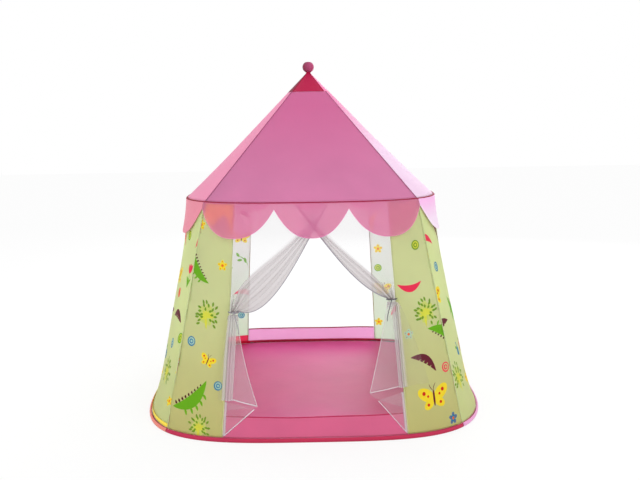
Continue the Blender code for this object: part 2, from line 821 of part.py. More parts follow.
def curtain(hand):
    """Sewn along the eave, past the middle, and drawn in pleats to the tie beside its jamb."""
    behind = 0 if hand == "left" else 1
    neck_share = (CURTAIN_ROWS - 1) / CURTAIN_ROWS
    centre = gather_centre(hand) + Vector((0, 0, CURTAIN_END))

    def place(across, fall):
        down = min(fall / neck_share, 1)
        sideways = lerp(jamb_half(WALL_TOP) - SEAM_GAP, -CURTAIN_OVERLAP, across)
        top = Vector((HANDS[hand] * sideways, -front_out(sideways, WALL_TOP), WALL_TOP))
        pleat = GATHER_HALF_WIDTH * (1 - 2 * across)
        foot = centre + Vector((HANDS[hand] * pleat, 0, 0))
        run = foot - top
        sags = [Vector((0, 0, -SWAG_DEPTH * s * across**2)) for s in SWAG_SAG_SHARES[hand]]
        first, second = top + run / 3 + sags[0], top + run * 2 / 3 + sags[1]
        rest = 1 - down
        point = (
            top * rest**3
            + first * (3 * rest**2 * down)
            + second * (3 * rest * down**2)
            + foot * down**3
        )
        hung = ease((EAVE_HEIGHT - point.z) / (EAVE_HEIGHT - GATHER_HEIGHT[hand]))
        cloth_out = front_out(abs(point.x), point.z)
        point.y = lerp(-cloth_out, point.y, hung)
        lap = lerp(CURTAIN_LAP, CURTAIN_LAP_FULL, ease(down / LAP_FULL_SHARE))
        point.y += behind * lap * (1 - ease(down))
        spread = lerp(ease(2 * across), math.sqrt(max(1 - (2 * across - 1) ** 2, 0)), ease(down))
        deep = lerp(FOLD_DEPTH, GATHER_HALF_DEPTH, ease(down)) * ease(down / FOLD_FULL_SHARE)
        fold = math.sin(2 * math.pi * CURTAIN_FOLDS * across) - rest
        point.y -= deep * spread * fold
        point.z -= 2 * CURTAIN_END * max(fall - neck_share, 0) / (1 - neck_share)
        return point

    look = material("curtain voile", VOILE, 0.8)
    sheet(f"{hand}_curtain", 26, CURTAIN_ROWS, place, look, MESH_CLOTH)


def skirt(hand):
    """Falls from the tie: a back layer from the jamb to a fold, and a pleated layer in front."""
    top = GATHER_HEIGHT[hand] - SKIRT_TOP_BELOW_TIE
    low, high = hinge_line(hand)

    def place(across, down):
        flare = down ** SKIRT_FLARE_POWER[hand]
        inward = lerp(SKIRT_TOP_INTO_DOOR, SKIRT_INTO_DOOR[hand], flare)
        over = lerp(SKIRT_TOP_OVER_WALL, SKIRT_OVER_WALL[hand], down**SKIRT_SPREAD_POWER)
        if across < SKIRT_BACK_SHARE:
            share = across / SKIRT_BACK_SHARE
            hem = lerp(SKIRT_FOOT_HEIGHT, SKIRT_EDGE_HEM[hand], share)
            sideways = inward * math.sin(share * math.pi / 2)
            forward = SKIRT_LAYER_GAP / 2 * (1 - math.cos(share * math.pi / 2))
        else:
            share = (across - SKIRT_BACK_SHARE) / (1 - SKIRT_BACK_SHARE)
            hem = lerp(SKIRT_EDGE_HEM[hand], SKIRT_FRONT_HEM[hand], ease(share))
            sideways = lerp(inward, -over, 1 - math.cos(share * math.pi / 2))
            forward = SKIRT_LAYER_GAP * (0.5 + 0.5 * math.sin(share * math.pi / 2))
            deep = SKIRT_FOLD * (0.5 + 0.5 * down) * math.sin(share * math.pi)
            forward += deep * math.sin(2 * math.pi * SKIRT_FOLDS * share)
            forward += SKIRT_FOLD * ease(share / SKIRT_TURN_SHARE)
        height = lerp(top, hem, down)
        seam = hinge_point(hand, height)
        over_wall = ease(-sideways / SKIRT_SETTLE_WIDTH)
        wall_y = -front_out(abs(seam.x) - sideways, height) - CLOTH_TO_CLOTH
        seam.y = lerp(seam.y, wall_y, over_wall)
        forward *= lerp(1, SKIRT_ON_WALL_SHARE, over_wall)
        return seam + Vector((-HANDS[hand] * sideways, -forward, 0))

    look = material("curtain voile", VOILE, 0.8)
    sheet(f"{hand}_curtain_skirt", 24, 8, place, look, MESH_CLOTH, origin=low)


def gusset(hand):
    """The curtain's bottom corner, sewn down the outside of the jamb below its skirt."""

    def place(across, up):
        height = lerp(GUSSET_FOOT, GUSSET_TOP, up)
        inward = lerp(SEAM_GAP, GUSSET_TOP_WIDTH[hand], up) * across + FABRIC * across
        return door_place(hand, inward, CLOTH_TO_CLOTH + FIT, height)

    look = material("curtain voile", VOILE, 0.8)
    sheet(f"{hand}_curtain_gusset", 6, 4, place, look, MESH_CLOTH)


def curtain_tie(hand):
    """A cord loop round the pleats, its knot in front and its end sewn to the jamb seam."""
    centre = gather_centre(hand)
    points = []
    for i in range(16):
        angle = 2 * math.pi * i / 16
        wide = (GATHER_HALF_WIDTH + TIE_CLEARANCE) * math.cos(angle)
        deep = (GATHER_HALF_DEPTH + TIE_CLEARANCE) * math.sin(angle)
        points.append(centre + Vector((wide, deep, 0)))
    loop = path_curve(f"{hand}_curtain_tie", points, None, closed=True)
    loop.data.bevel_depth = TIE_RADIUS
    loop.data.bevel_resolution = 1
    look = material("tie cord", CORD_GREY, 0.85)
    tie = to_mesh(loop, look)
    bm = bmesh.new()
    bmesh.ops.create_uvsphere(bm, u_segments=10, v_segments=6, radius=KNOT_RADIUS)
    knot = add_object(f"{hand}_knot", mesh_of(bm, "knot"), None)
    knot.location = knot_centre(hand)
    combine(tie, knot, "UNION")
    start = centre + Vector((HANDS[hand] * (GATHER_HALF_WIDTH + TIE_CLEARANCE), 0, 0))
    beside = FABRIC / 2 + FIT + TIE_RADIUS
    anchor = door_place(hand, -GATHER_HALF_DEPTH, beside, GATHER_HEIGHT[hand])
    run = anchor - start
    tab = cylinder(f"{hand}_tab", TIE_RADIUS, 0, run.length, sides=8)
    combine(tie, stand(tab, start, run), "UNION")


def knot_centre(hand):
    deep = GATHER_HALF_DEPTH + TIE_CLEARANCE + KNOT_RADIUS / 2
    return gather_centre(hand) + Vector((0, -deep, 0))


def tie_tail(hand):
    """The loose end of the cord, hanging from the knot in front of the skirt."""
    start = knot_centre(hand) + Vector((0, -KNOT_RADIUS - FIT, 0))
    route = [start + Vector((HANDS[hand] * x, y, z)) for x, y, z in TAIL_ROUTE]
    points = [along_route(route, i / TAIL_STEPS) for i in range(TAIL_STEPS + 1)]
    rod(f"{hand}_tie_tail", points, TAIL_RADIUS, material("tie cord", CORD_GREY, 0.85))


def along_route(route, share):
    """A point on the smooth curve through the route's points."""
    place = share * (len(route) - 1)
    index = min(int(place), len(route) - 2)
    t = place - index
    before, start = route[max(index - 1, 0)], route[index]
    end, after = route[index + 1], route[min(index + 2, len(route) - 1)]
    return 0.5 * (
        2 * start
        + (end - before) * t
        + (2 * before - 5 * start + 4 * end - after) * t**2
        + (3 * start - before - 3 * end + after) * t**3
    )


def build():
    floor_hoop()
    floor_hoop_ferrule()
    floor_hoop_sleeves()
    eave_hoop()
    eave_hoop_ferrule()
    eave_binding()
    floor_sheet()
    for side in ("left", "right"):
        side_wall(side)
    for side in ("front", "back"):
        sill(side)
        for hand in HANDS:
            door_panel(side, hand)
    roof_colours = {"front": ROSE, "right": PALE_PINK, "back": ROSE, "left": SALMON}
    for side, colour in roof_colours.items():
        roof_panel(side, colour)
        valance(side, colour)
    roof_cap()
    floor_cutter()
    corners = {name: Corner(signs) for name, signs in CORNERS.items()}
    for name, corner in corners.items():
        foot_cup(name, corner)
        wall_pole(name, corner)
        eave_elbow(name, corner)
        roof_rib(name, corner)
    apex_hub(corners)
    finial_ball()
    for hand in HANDS:
        curtain(hand)
        skirt(hand)
        gusset(hand)
        curtain_tie(hand)
        tie_tail(hand)


for old in list(bpy.data.objects):
    bpy.data.objects.remove(old)
PARTS = new_collection("kids_play_tent")
CUTTERS = new_collection("cutters")
build()
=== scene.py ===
"""A child's play tent dressed for rendering: its cloth, print, curtains, ties and frame."""

import math
import random

import bpy
import numpy as np
from bpy.props import FloatProperty, FloatVectorProperty, IntProperty, PointerProperty
from mathutils import Matrix, Vector
from mathutils.geometry import delaunay_2d_cdt


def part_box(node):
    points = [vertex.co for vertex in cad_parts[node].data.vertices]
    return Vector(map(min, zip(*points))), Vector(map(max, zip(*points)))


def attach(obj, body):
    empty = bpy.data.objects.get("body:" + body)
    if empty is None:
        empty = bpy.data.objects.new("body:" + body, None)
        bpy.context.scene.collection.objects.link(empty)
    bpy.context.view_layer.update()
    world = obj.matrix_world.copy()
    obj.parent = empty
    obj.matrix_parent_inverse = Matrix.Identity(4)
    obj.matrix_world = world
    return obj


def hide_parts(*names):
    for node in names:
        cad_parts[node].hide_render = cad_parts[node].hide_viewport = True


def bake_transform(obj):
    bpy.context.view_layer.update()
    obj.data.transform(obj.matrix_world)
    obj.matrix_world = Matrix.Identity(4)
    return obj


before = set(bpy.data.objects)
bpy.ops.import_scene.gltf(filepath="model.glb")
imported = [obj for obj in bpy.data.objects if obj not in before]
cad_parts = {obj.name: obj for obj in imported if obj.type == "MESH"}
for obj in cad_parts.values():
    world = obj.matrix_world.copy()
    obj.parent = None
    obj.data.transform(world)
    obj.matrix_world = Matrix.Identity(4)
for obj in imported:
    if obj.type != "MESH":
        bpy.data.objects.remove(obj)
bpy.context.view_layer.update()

bl_info = {
    "name": "Kids Play Tent",
    "version": (1, 0, 0),
    "blender": (4, 5, 0),
    "location": "View3D > Sidebar > Play Tent",
    "description": "Dresses the play tent's frame with cloth, print, curtains and ties",
    "category": "Add Mesh",
}

SIDES = {"front": -0.5 * math.pi, "right": 0.0, "back": 0.5 * math.pi, "left": math.pi}
CORNER_TURNS = {"front_left": -0.75, "front_right": -0.25, "back_right": 0.25, "back_left": 0.75}
CAP_SEAM_SHIFT = {
    "front_left": 0.012, "front_right": -0.024, "back_left": -0.012, "back_right": 0.024
}
HANDS = {"left": -1, "right": 1}
QUARTER = 0.25 * math.pi

# How far the stretched cloth draws in between the hoops, as shares of its bulge
WALL_DRAW_IN = 0.20
WALL_DRAW_POWER = 4
ROOF_DRAW_IN = 0.10

# Edges of the cloth
SEAM_GAP = 0.0003
WALL_FOOT = 0.0143
WALL_TOP_BELOW_EAVE = 0.0038
FLOOR_INSET = 0.0049
FLOOR_LIFT = 0.0006
FLOOR_PUCKER = 0.0028
ROOF_EDGE_UP = 0.0043
ROOF_SLACK = 0.003
SILL_SAG = 0.004
SILL_SLACK = 0.0022
CAP_OVER_ROOF = 0.0006
CAP_NECK = 0.0068

# The hoops' sleeves and binding, and the openings over their ferrules
SLEEVE_HALF_TALL = 0.0069
SLEEVE_HALF_THICK = 0.0042
SLEEVE_MIDDLE = 0.0070
SLEEVE_FLAT = 0.038
SLEEVE_END_GAP = 0.0018
SLEEVE_PUCKER = 0.0003
SLEEVE_PUCKER_PITCH = 0.011
FLOOR_FERRULE_FROM_CORNER = 0.090
FLOOR_FERRULE_OPENING = 0.035
EAVE_FERRULE_OPENING = 0.030
BINDING_HALF = 0.0032
BINDING_PUCKER_PITCH = 0.012

# Tape over the seams: (half width, half thickness)
TAPE_PROUD = 0.0009
WALL_SEAM_PROUD = 0.0012
WALL_SEAM = (0.0015, 0.0008)
JAMB_TAPE = (0.0018, 0.0008)
JAMB_TAPE_FROM_EDGE = 0.0022
FOOT_TAPE = (0.0080, 0.0008)
FOOT_TAPE_HEIGHT = 0.0230
CORNER_FLAP = (0.0062, 0.0008)
CORNER_FLAP_HEIGHT = 0.0088
CORNER_FLAP_INSIDE = 0.0042
ROOF_SEAM = (0.0014, 0.0008)
CAP_SEAM = (0.0016, 0.0008)
BALL_SEAM = (0.0012, 0.0006)
SILL_TAPE = (0.0026, 0.0012)
VALANCE_HEM = (0.0007, 0.0009)

# The stuffed ball, at a radius of 1 m, until it is made as small as the frame's
BALL_SEGMENTS = 112
BALL_RINGS = 64
BALL_SEAM_REACH = 0.03
BALL_ENDS_FROM = 0.975
BALL_DRAWN_IN = 0.965
BALL_FRAMES = 20

# Sizes that flat pieces were cut to, and how the valances hang
SILL_FLAT = (0.65, 0.068)
CAP_FLAT = (0.50, 0.12)
COLLAR_FLAT = (0.055, 0.010)
CURTAIN_FLAT = (0.345, 0.40)
SKIRT_FLAT = (0.34, 0.36)
CORNER_FLAT_HEIGHT = 0.08
VALANCE_FLAT_WIDTH = 0.90
VALANCE_PROUD = 0.0044
VALANCE_LEAST_PROUD = 0.0030
VALANCE_FLARE = 0.006
VALANCE_RIPPLE = 0.0022
VALANCE_SLACK = 0.003
SCALLOP_POWER = 2.4
ROOF_FLAT_SHARE = 0.92


def shade(code):
    """A linear colour from its sRGB hex code."""
    channels = [int(code[i : i + 2], 16) / 255 for i in (1, 3, 5)]
    return tuple(c / 12.92 if c <= 0.04045 else ((c + 0.055) / 1.055) ** 2.4 for c in channels)


def length(name, description, default):
    return FloatProperty(name=name, description=description, default=default, unit="LENGTH")


def colour(name, description, code):
    return FloatVectorProperty(
        name=name,
        description=description,
        default=shade(code),
        size=3,
        min=0,
        max=1,
        subtype="COLOR",
    )


class TentSizes(bpy.types.PropertyGroup):
    """The sizes that a user of the tent would change."""

    floor_half: length("Floor hoop half width", "Middle of the tent to the floor hoop", 0.660)
    floor_power: FloatProperty(
        name="Floor hoop squareness", description="Higher is squarer", default=3.57
    )
    eave_half: length("Eave hoop half width", "Middle of the tent to the eave hoop", 0.518)
    eave_power: FloatProperty(
        name="Eave hoop squareness", description="Higher is squarer", default=2.92
    )
    eave_height: length("Eave height", "Floor to the eave hoop", 0.830)
    peak_height: length("Peak height", "Floor to where the roof's slopes meet", 1.360)
    cap_drop: length("Cap drop", "Peak to the lower edge of the cap", 0.093)
    ball_radius: length("Finial radius", "Radius of the stuffed ball", 0.025)
    door_half_floor: length("Doorway half width, floor", "At the floor", 0.329)
    door_half_eave: length("Doorway half width, eave", "At the eave", 0.285)
    sill_height: length("Sill height", "Floor to the top of the sill", 0.082)
    valance_drop: length("Valance drop", "Eave to the lowest point of a scallop", 0.130)
    valance_cusp: length("Valance cusp", "Eave to where two scallops meet", 0.022)
    scallops: IntProperty(name="Scallops", description="Scallops on each side", default=3, min=1)
    cloth: length("Cloth thickness", "Thickness of the woven cloth", 0.0005)
    cord: length("Tie cord thickness", "Diameter of the curtain ties", 0.003)


class TentColours(bpy.types.PropertyGroup):
    """The colours that a user of the tent would change."""

    roof_front: colour("Front and back roof", "Rose taffeta", "#d083ad")
    # Painted shade: the front and back roof are painted deeper near the cap.
    roof_shade_near_cap: colour("Front roof near the cap", "The same cloth, deeper", "#d072a2")
    # Painted light: the left and right roof are the rose cloth painted paler, as light falls on
    # them.
    roof_left_lit: colour("Left roof", "Salmon pink taffeta", "#f0a4c4")
    roof_right_lit: colour("Right roof", "Pale pink taffeta", "#fbd8f2")
    cap: colour("Cap", "Crimson taffeta", "#bc124a")
    # Painted shade and light: on the one crimson cloth, the cap's left gore is painted dark and its
    # right gore bright.
    cap_left_shade: colour("Cap, left gore", "Dark crimson taffeta", "#8c1640")
    cap_right_lit: colour("Cap, right gore", "Bright pink taffeta", "#ff88bc")
    ball: colour("Finial", "Crimson cloth", "#a83a66")
    # Painted shade and light: the ball is painted darker on its left and paler on its right.
    ball_shade_left: colour("Finial, left", "Maroon cloth", "#86304f")
    ball_lit_right: colour("Finial, right", "Rose cloth", "#b84a78")
    piping: colour("Eave binding", "Dark crimson tape", "#9c1236")
    roof_seam: colour("Roof seams", "Dark rose tape", "#ac4f7c")
    valance_front: colour("Front valance", "Rose taffeta", "#e48cba")
    # Painted light: the left and right valances are the rose cloth painted paler, the right one
    # less so at the eave.
    valance_left_lit: colour("Left valance", "Salmon pink taffeta", "#ee94a8")
    valance_right_lit: colour("Right valance", "Pale pink taffeta", "#fee4ff")
    valance_right_less_lit_eave: colour("Right valance at the eave", "The same cloth, pinker", "#fcc2ee")
    floor: colour("Floor", "Coated rose cloth", "#e2539f")
    sill: colour("Front sill", "Rose cloth", "#d66c94")
    # Painted light: the back sill is the rose cloth painted paler, as light shines through it.
    sill_back_lit: colour("Back sill", "Pink cloth", "#fcaed8")
    sill_tape: colour("Sill tape", "Crimson tape", "#ba2f57")
    sleeve_front: colour("Front and back sleeve", "Crimson cloth", "#ca345b")
    # Painted light: the left and right sleeves are the crimson cloth painted paler, as light falls
    # on them.
    sleeve_left_lit: colour("Left sleeve", "Salmon cloth", "#f09488")
    sleeve_right_lit: colour("Right sleeve", "Pale pink cloth", "#f6b0dc")
    wall: colour("Walls", "Pale leaf-green cloth", "#c8d29e")
    # Painted shade: the walls are painted darker towards the floor.
    wall_foot: colour("Walls near the floor", "Olive tint", "#bfbd76")
    # Painted light: the side walls are the wall cloth painted paler, as light falls on them.
    side_wall: colour("Side walls", "Printed polyester, paler", "#d1dfa6")
    # Painted shade: the side walls are painted darker towards the floor.
    side_foot_shade: colour("Side walls near the floor", "The same cloth, yellower", "#c5cf94")
    back_wall: colour("Back walls", "The cloth with daylight behind it", "#dcf6e2")
    # Painted shade: the back walls are painted darker towards the floor.
    back_foot_shade: colour("Back walls near the floor", "The same cloth", "#c8e4c4")
    wall_seam: colour("Wall seams", "Grey-green tape", "#c8d2a0")
    jamb: colour("Doorway tape", "Pale green tape", "#c8ce98")
    foot_tape: colour("Left foot tape", "Yellow-orange tape", "#ffe450")
    curtain: colour("Curtain mesh", "White voile", "#c8c5c8")
    # Painted shade: the gathered mesh is painted greyer, as shade in its folds.
    curtain_fold_shade: colour("Gathered curtain mesh", "Folded voile", "#c8c0c1")
    curtain_hem: colour("Curtain hem", "White tape", "#e8e1e8")
    curtain_edge: colour("Curtain edge", "Grey binding", "#9c97a2")
    tie: colour("Ties", "Grey cord", "#6a6870")
    left_tie: colour("Left tie", "Paler cord", "#a29ea6")
    steel: colour("Steel", "Spring steel", "#8f9298")
    fibre: colour("Poles", "Glass fibre", "#e6e5df")
    plastic: colour("Fittings", "White moulded plastic", "#ecebe8")


PRINT = {
    name: (*shade(code), 1)
    for name, code in {
        "bare": "#c4ce98",
        "green": "#6cb80f",
        "leaf": "#6fa020",
        "lime": "#d8de4c",
        "pale": "#cbd878",
        "maroon": "#4a0a18",
        "plum": "#6a0030",
        "crimson": "#e8255a",
        "red": "#d01010",
        "blue": "#2080b0",
        "sky": "#b4dcc8",
        "yellow": "#f0e030",
        "orange": "#e87820",
        "amber": "#fcff00",
    }.items()
}

# Curtains, as the frame's solids have them
CURTAIN_OVERLAP = 0.060
CURTAIN_LAP = 0.0012
CURTAIN_LAP_FULL = 0.014
GATHER_HEIGHT = {"left": 0.438, "right": 0.475}
GATHER_FROM_JAMB = 0.017
GATHER_HALF_WIDTH = 0.014
GATHER_HALF_DEPTH = 0.006
GATHER_FORWARD = 0.015
CURTAIN_END = 0.005
SWAG_SAGS = {"left": (0.24, 0.60), "right": (0.12, 0.28)}
SWAG_DEPTH = 0.300
LAP_FULL_SHARE = 0.33
FOLD_FULL_SHARE = 0.62
HINGE_OFF_EDGE = 0.0005
HINGE_LOW = 0.100
HINGE_HIGH = 0.460
SKIRT_BELOW_TIE = 0.010
SKIRT_FOOT = 0.100
SKIRT_INTO_DOOR = {"left": 0.118, "right": 0.122}
SKIRT_OVER_WALL = {"left": 0.027, "right": 0.100}
SKIRT_EDGE_HEM = {"left": 0.112, "right": 0.150}
SKIRT_FRONT_HEM = {"left": 0.138, "right": 0.172}
SKIRT_TOP_INTO_DOOR = 0.031
SKIRT_TOP_OVER_WALL = 0.004
SKIRT_FLARE_POWER = {"left": 1.5, "right": 1.15}
SKIRT_SPREAD_POWER = 0.70
SKIRT_LAYER_GAP = 0.013
SKIRT_SETTLE_WIDTH = 0.040
GUSSET_FOOT = 0.018
GUSSET_TOP = 0.0975
GUSSET_TOP_WIDTH = {"left": 0.110, "right": 0.096}
CORNER_TOPS = {"left": (0.130, 0.1075), "right": (0.152, 0.128)}

# How the finer cloth bunches, which the solids leave out
BAND_CLOTH_FROM = 0.50
BAND_WIDTH = {"left": 0.95, "right": 0.60}
BAND_POWER = {"left": 1.2, "right": 1.5}
BAND_LEAST_REST = {"left": 0.28, "right": 0.50}
BAND_PLEATS = {"left": 4, "right": 3}
BAND_PLEAT_DEPTH = {"left": 0.0034, "right": 0.0028}
COLUMN_FROM = 0.40
COLUMN_TO = 0.76
COLUMN_INSIDE = {"left": 0.029, "right": 0.017}
COLUMN_SHARE = {"left": 0.85, "right": 0.45}
COLUMN_OUTSIDE = 0.011
COLUMN_PLEATS = 4
COLUMN_PLEAT_DEPTH = 0.0036
ABOVE_TIE_SHARE = 11 / 12
SWAG_FOLDS = 3
SWAG_FOLD_DEPTH = 0.011
GATHER_PLEATS = 11
GATHER_PLEAT_DEPTH = 0.0022
SKIRT_BACK_SHARE = 0.42
SKIRT_FOLD_DEPTH = 0.0030
SKIRT_FRONT_PROUD = 0.005
SKIRT_OFF_WALL = 0.0013
CORNER_OFF_SILL = 0.0016
CORNER_BUNCH_WIDTH = 0.009
EDGE_BINDING_HALF = {"left": 0.0014, "right": 0.0019}
SKIRT_HEM_HALF = {"left": 0.0020, "right": 0.0013}
CORNER_HEM_HALF = {"left": 0.0018, "right": 0.0013}
SKIRT_FOLD_HEM = (0.0010, 0.0009)
HEM_HALF_THICK = 0.0008

# The ties: a cord wound twice round the gathers, its knot, and its tail from the knot down
TIE_REACH = 0.0026
TIE_TURN_DROP = 0.0016
KNOT_RADIUS = 0.0048
KNOT_SIZE = 0.0016
TAB_OFF_WALL = 0.0008
TAB_DROOP = 0.002
TAIL_OFF_KNOT = 0.0003
TAIL_ROUTE = (
    (0.0000, 0.0000, 0.0000),
    (-0.0010, -0.0040, -0.0020),
    (-0.0030, -0.0065, -0.0080),
    (-0.0058, -0.0075, -0.0170),
    (-0.0090, -0.0078, -0.0280),
    (-0.0122, -0.0074, -0.0400),
    (-0.0150, -0.0068, -0.0520),
    (-0.0168, -0.0064, -0.0640),
    (-0.0172, -0.0064, -0.0740),
)


def lerp(a, b, share):
    return a + (b - a) * share


def ease(share):
    share = np.clip(share, 0, 1)
    return share * share * (3 - 2 * share)


def from_side_middle(angle):
    """A polar angle, measured from the middle of the side that it lies in."""
    return (angle + QUARTER) % (2 * QUARTER) - QUARTER


def stack(x, y, z):
    """Points from their coordinates, which may be numbers or arrays."""
    x, y, z = np.broadcast_arrays(x, y, z)
    return np.stack([x, y, z], axis=-1).astype(float)


def waves(a, b, seed, strength, count=7, low=2.0, high=9.0):
    """A smooth uneven surface over (a, b), the same on each run."""
    maker = random.Random(seed)
    total = np.zeros(np.broadcast(a, b).shape)
    for _ in range(count):
        angle = maker.uniform(0, math.pi)
        often = maker.uniform(low, high)
        phase = maker.uniform(0, math.tau)
        total = total + np.sin(
            math.tau * often * (a * math.cos(angle) + b * math.sin(angle)) + phase
        )
    return strength * total / count


class TentForm:
    """The curves of the hoops, walls and roof, from the tent's sizes.

    On each side a turn is how far a point lies to the left or right of its middle, as a share
    of how far out it lies: 0 in the middle of the side and 1 at its corners."""

    def __init__(self, sizes):
        for name in TentSizes.__annotations__:
            setattr(self, name, getattr(sizes, name))
        self.eave_corner = self.squircle(self.eave_half, self.eave_power, 1)
        self.wall_top = self.eave_height - WALL_TOP_BELOW_EAVE

    def squircle(self, half, power, turn):
        """How far out a square with round corners reaches at a turn."""
        return half / (1 + np.abs(turn) ** power) ** (1 / power)

    def plan(self, side, out, turn, height):
        """The point of a side that lies this far out."""
        angle = SIDES[side]
        east, north = math.cos(angle), math.sin(angle)
        return stack(out * east - turn * out * north, out * north + turn * out * east, height)

    def hoop(self, half, power, angle, height):
        """A hoop's points at polar angles round the tent."""
        rest = from_side_middle(angle)
        out = self.squircle(half, power, np.tan(rest)) / np.cos(rest)
        return stack(out * np.cos(angle), out * np.sin(angle), height)

    def wall_out(self, turn, height):
        """How far out the wall stands, which the two hoops hold in different outlines."""
        rise = height / self.eave_height
        half = lerp(self.floor_half, self.eave_half, rise)
        power = lerp(self.floor_power, self.eave_power, rise)
        corner = self.squircle(half, power, 1)
        waist = 1 - WALL_DRAW_IN * (1 - (2 * rise - 1) ** WALL_DRAW_POWER)
        return corner + (self.squircle(half, power, turn) - corner) * waist

    def wall(self, side, turn, height, proud=0.0):
        return self.plan(side, self.wall_out(turn, height) + proud, turn, height)

    def roof_out(self, turn, climb):
        """The roof's reach, as if it didn't narrow as it climbs."""
        bulge = self.squircle(self.eave_half, self.eave_power, turn) - self.eave_corner
        return self.eave_corner + bulge * (1 - ROOF_DRAW_IN * np.sin(math.pi * climb))

    def roof(self, side, turn, climb, proud=0.0):
        """Proud lifts the cloth square to the slope, which is near 45 degrees."""
        lift = 0.7 * proud
        height = self.roof_height(climb) + lift
        return self.plan(side, self.roof_out(turn, climb) * (1 - climb) + lift, turn, height)

    def roof_height(self, climb):
        return lerp(self.eave_height, self.peak_height, climb)

    def scallop(self, across):
        """Where this is in its scallop, from -1 to 1, and how far down the edge hangs there."""
        along = across * self.scallops
        lobe = 2 * (along - np.minimum(np.floor(along), self.scallops - 1)) - 1
        deep = self.valance_drop - self.valance_cusp
        return lobe, self.valance_cusp + deep * (1 - np.abs(lobe) ** SCALLOP_POWER)

    def climb_at(self, height):
        return (height - self.eave_height) / (self.peak_height - self.eave_height)

    def jamb(self, height):
        """From the middle of the doorway to its edge."""
        return lerp(self.door_half_floor, self.door_half_eave, height / self.eave_height)

    def turn_at(self, sideways, height):
        """The wall's turn at a distance sideways, found by a few rounds of correction."""
        turn = sideways / self.wall_out(0.0, height)
        for _ in range(5):
            turn = sideways / self.wall_out(turn, height)
        return turn

    def front_out(self, sideways, height):
        return self.wall_out(self.turn_at(sideways, height), height)

    def door_place(self, hand, inward, forward, height):
        """A place by the front doorway: inward from its edge and forward of the wall."""
        sideways = self.jamb(height) - inward
        out = self.front_out(sideways, height) + forward
        return stack(HANDS[hand] * sideways, -out, height)

    def hinge(self, hand, height):
        """The straight line that a curtain's skirt is sewn along and swings on."""
        low = self.door_place(hand, HINGE_OFF_EDGE, HINGE_OFF_EDGE, HINGE_LOW)
        high = self.door_place(hand, HINGE_OFF_EDGE, HINGE_OFF_EDGE, HINGE_HIGH)
        share = (np.asarray(height) - HINGE_LOW) / (HINGE_HIGH - HINGE_LOW)
        return low + (high - low) * share[..., None]

    def gather(self, hand):
        """The middle of the gathered curtain inside its tie."""
        seam = self.hinge(hand, np.array(GATHER_HEIGHT[hand]))
        return seam + np.array((-HANDS[hand] * GATHER_FROM_JAMB, -GATHER_FORWARD, 0))


# Making and dressing meshes


def only(piece):
    bpy.ops.object.select_all(action="DESELECT")
    piece.select_set(True)
    bpy.context.view_layer.objects.active = piece
    return piece


def points_of(data):
    points = np.empty(len(data.vertices) * 3)
    data.vertices.foreach_get("co", points)
    return points.reshape(-1, 3)


def move_points(data, points):
    data.vertices.foreach_set("co", points.reshape(-1))
    data.update()


def vertex_of_each_corner(data):
    corners = np.empty(len(data.loops), dtype=np.int32)
    data.loops.foreach_get("vertex_index", corners)
    return corners


def lay(name, columns, rows, place, pattern, bunch=None):
    """A grid laid over place(across, up), both from 0 to 1, with its flat pattern as UV map.

    Where bunch(across, up) is 1 the mesh cloth is gathered so tightly that it looks solid."""
    bpy.ops.object.select_all(action="DESELECT")
    bpy.ops.mesh.primitive_grid_add(
        x_subdivisions=columns, y_subdivisions=rows, size=2, location=(0, 0, 0)
    )
    piece = bpy.context.active_object
    piece.name = name
    data = piece.data
    data.name = name
    across, up = (points_of(data)[:, :2].T + 1) / 2
    cut = pattern(across, up)[vertex_of_each_corner(data)]
    data.uv_layers[0].data.foreach_set("uv", cut.reshape(-1))
    if bunch is not None:
        dense = data.attributes.new("bunch", "FLOAT", "POINT")
        dense.data.foreach_set("value", bunch(across, up).astype(np.float32))
    move_points(data, place(across, up))
    return piece


def rectangle(width, tall):
    return lambda across, up: np.stack([across * width, up * tall], axis=-1)


def edit(piece, *steps):
    """Runs mesh operators on the whole of the piece in edit mode."""
    only(piece)
    bpy.ops.object.mode_set(mode="EDIT")
    bpy.ops.mesh.select_all(action="SELECT")
    for step in steps:
        step()
    bpy.ops.object.mode_set(mode="OBJECT")
    return piece


def weld():
    bpy.ops.mesh.remove_doubles(threshold=0.00002)


def cap_ends():
    bpy.ops.mesh.select_mode(type="EDGE")
    bpy.ops.mesh.select_all(action="DESELECT")
    bpy.ops.mesh.select_non_manifold(extend=False)
    bpy.ops.mesh.edge_face_add()
    bpy.ops.mesh.select_all(action="SELECT")


def face_out():
    bpy.ops.mesh.normals_make_consistent(inside=False)


def thicken(piece, wall):
    """Gives woven cloth its two faces."""
    only(piece)
    step = piece.modifiers.new("cloth", "SOLIDIFY")
    step.thickness = wall
    step.offset = 0
    step.use_even_offset = False
    bpy.ops.object.modifier_apply(modifier=step.name)
    return piece


def cover(piece, look):
    piece.data.materials.clear()
    piece.data.materials.append(look)


def dress(piece, look, nodes=()):
    cover(piece, look)
    piece.data.shade_smooth()
    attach(piece, "tent")
    if nodes:
        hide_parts(*nodes)
    return piece


def running_length(path):
    """How far along the path each of its points lies."""
    steps = np.linalg.norm(np.diff(path, axis=0), axis=1)
    return np.concatenate([[0], np.cumsum(steps)])


def smooth_path(points, count):
    """Evenly spaced points on the smooth curve through the given ones."""
    points = np.asarray(points, float)
    ends = np.vstack([2 * points[0] - points[1], points, 2 * points[-1] - points[-2]])
    found = []
    for i in range(len(points) - 1):
        before, start, end, after = ends[i : i + 4]
        t = np.linspace(0, 1, 24, endpoint=False)[:, None]
        slope = end - before
        bend = 2 * before - 5 * start + 4 * end - after
        twist = 3 * start - before - 3 * end + after
        found.append(0.5 * (2 * start + slope * t + bend * t**2 + twist * t**3))
    dense = np.vstack([*found, points[-1:]])
    along = running_length(dense)
    even = np.linspace(0, along[-1], count)
    return np.stack([np.interp(even, along, dense[:, k]) for k in range(3)], axis=1)


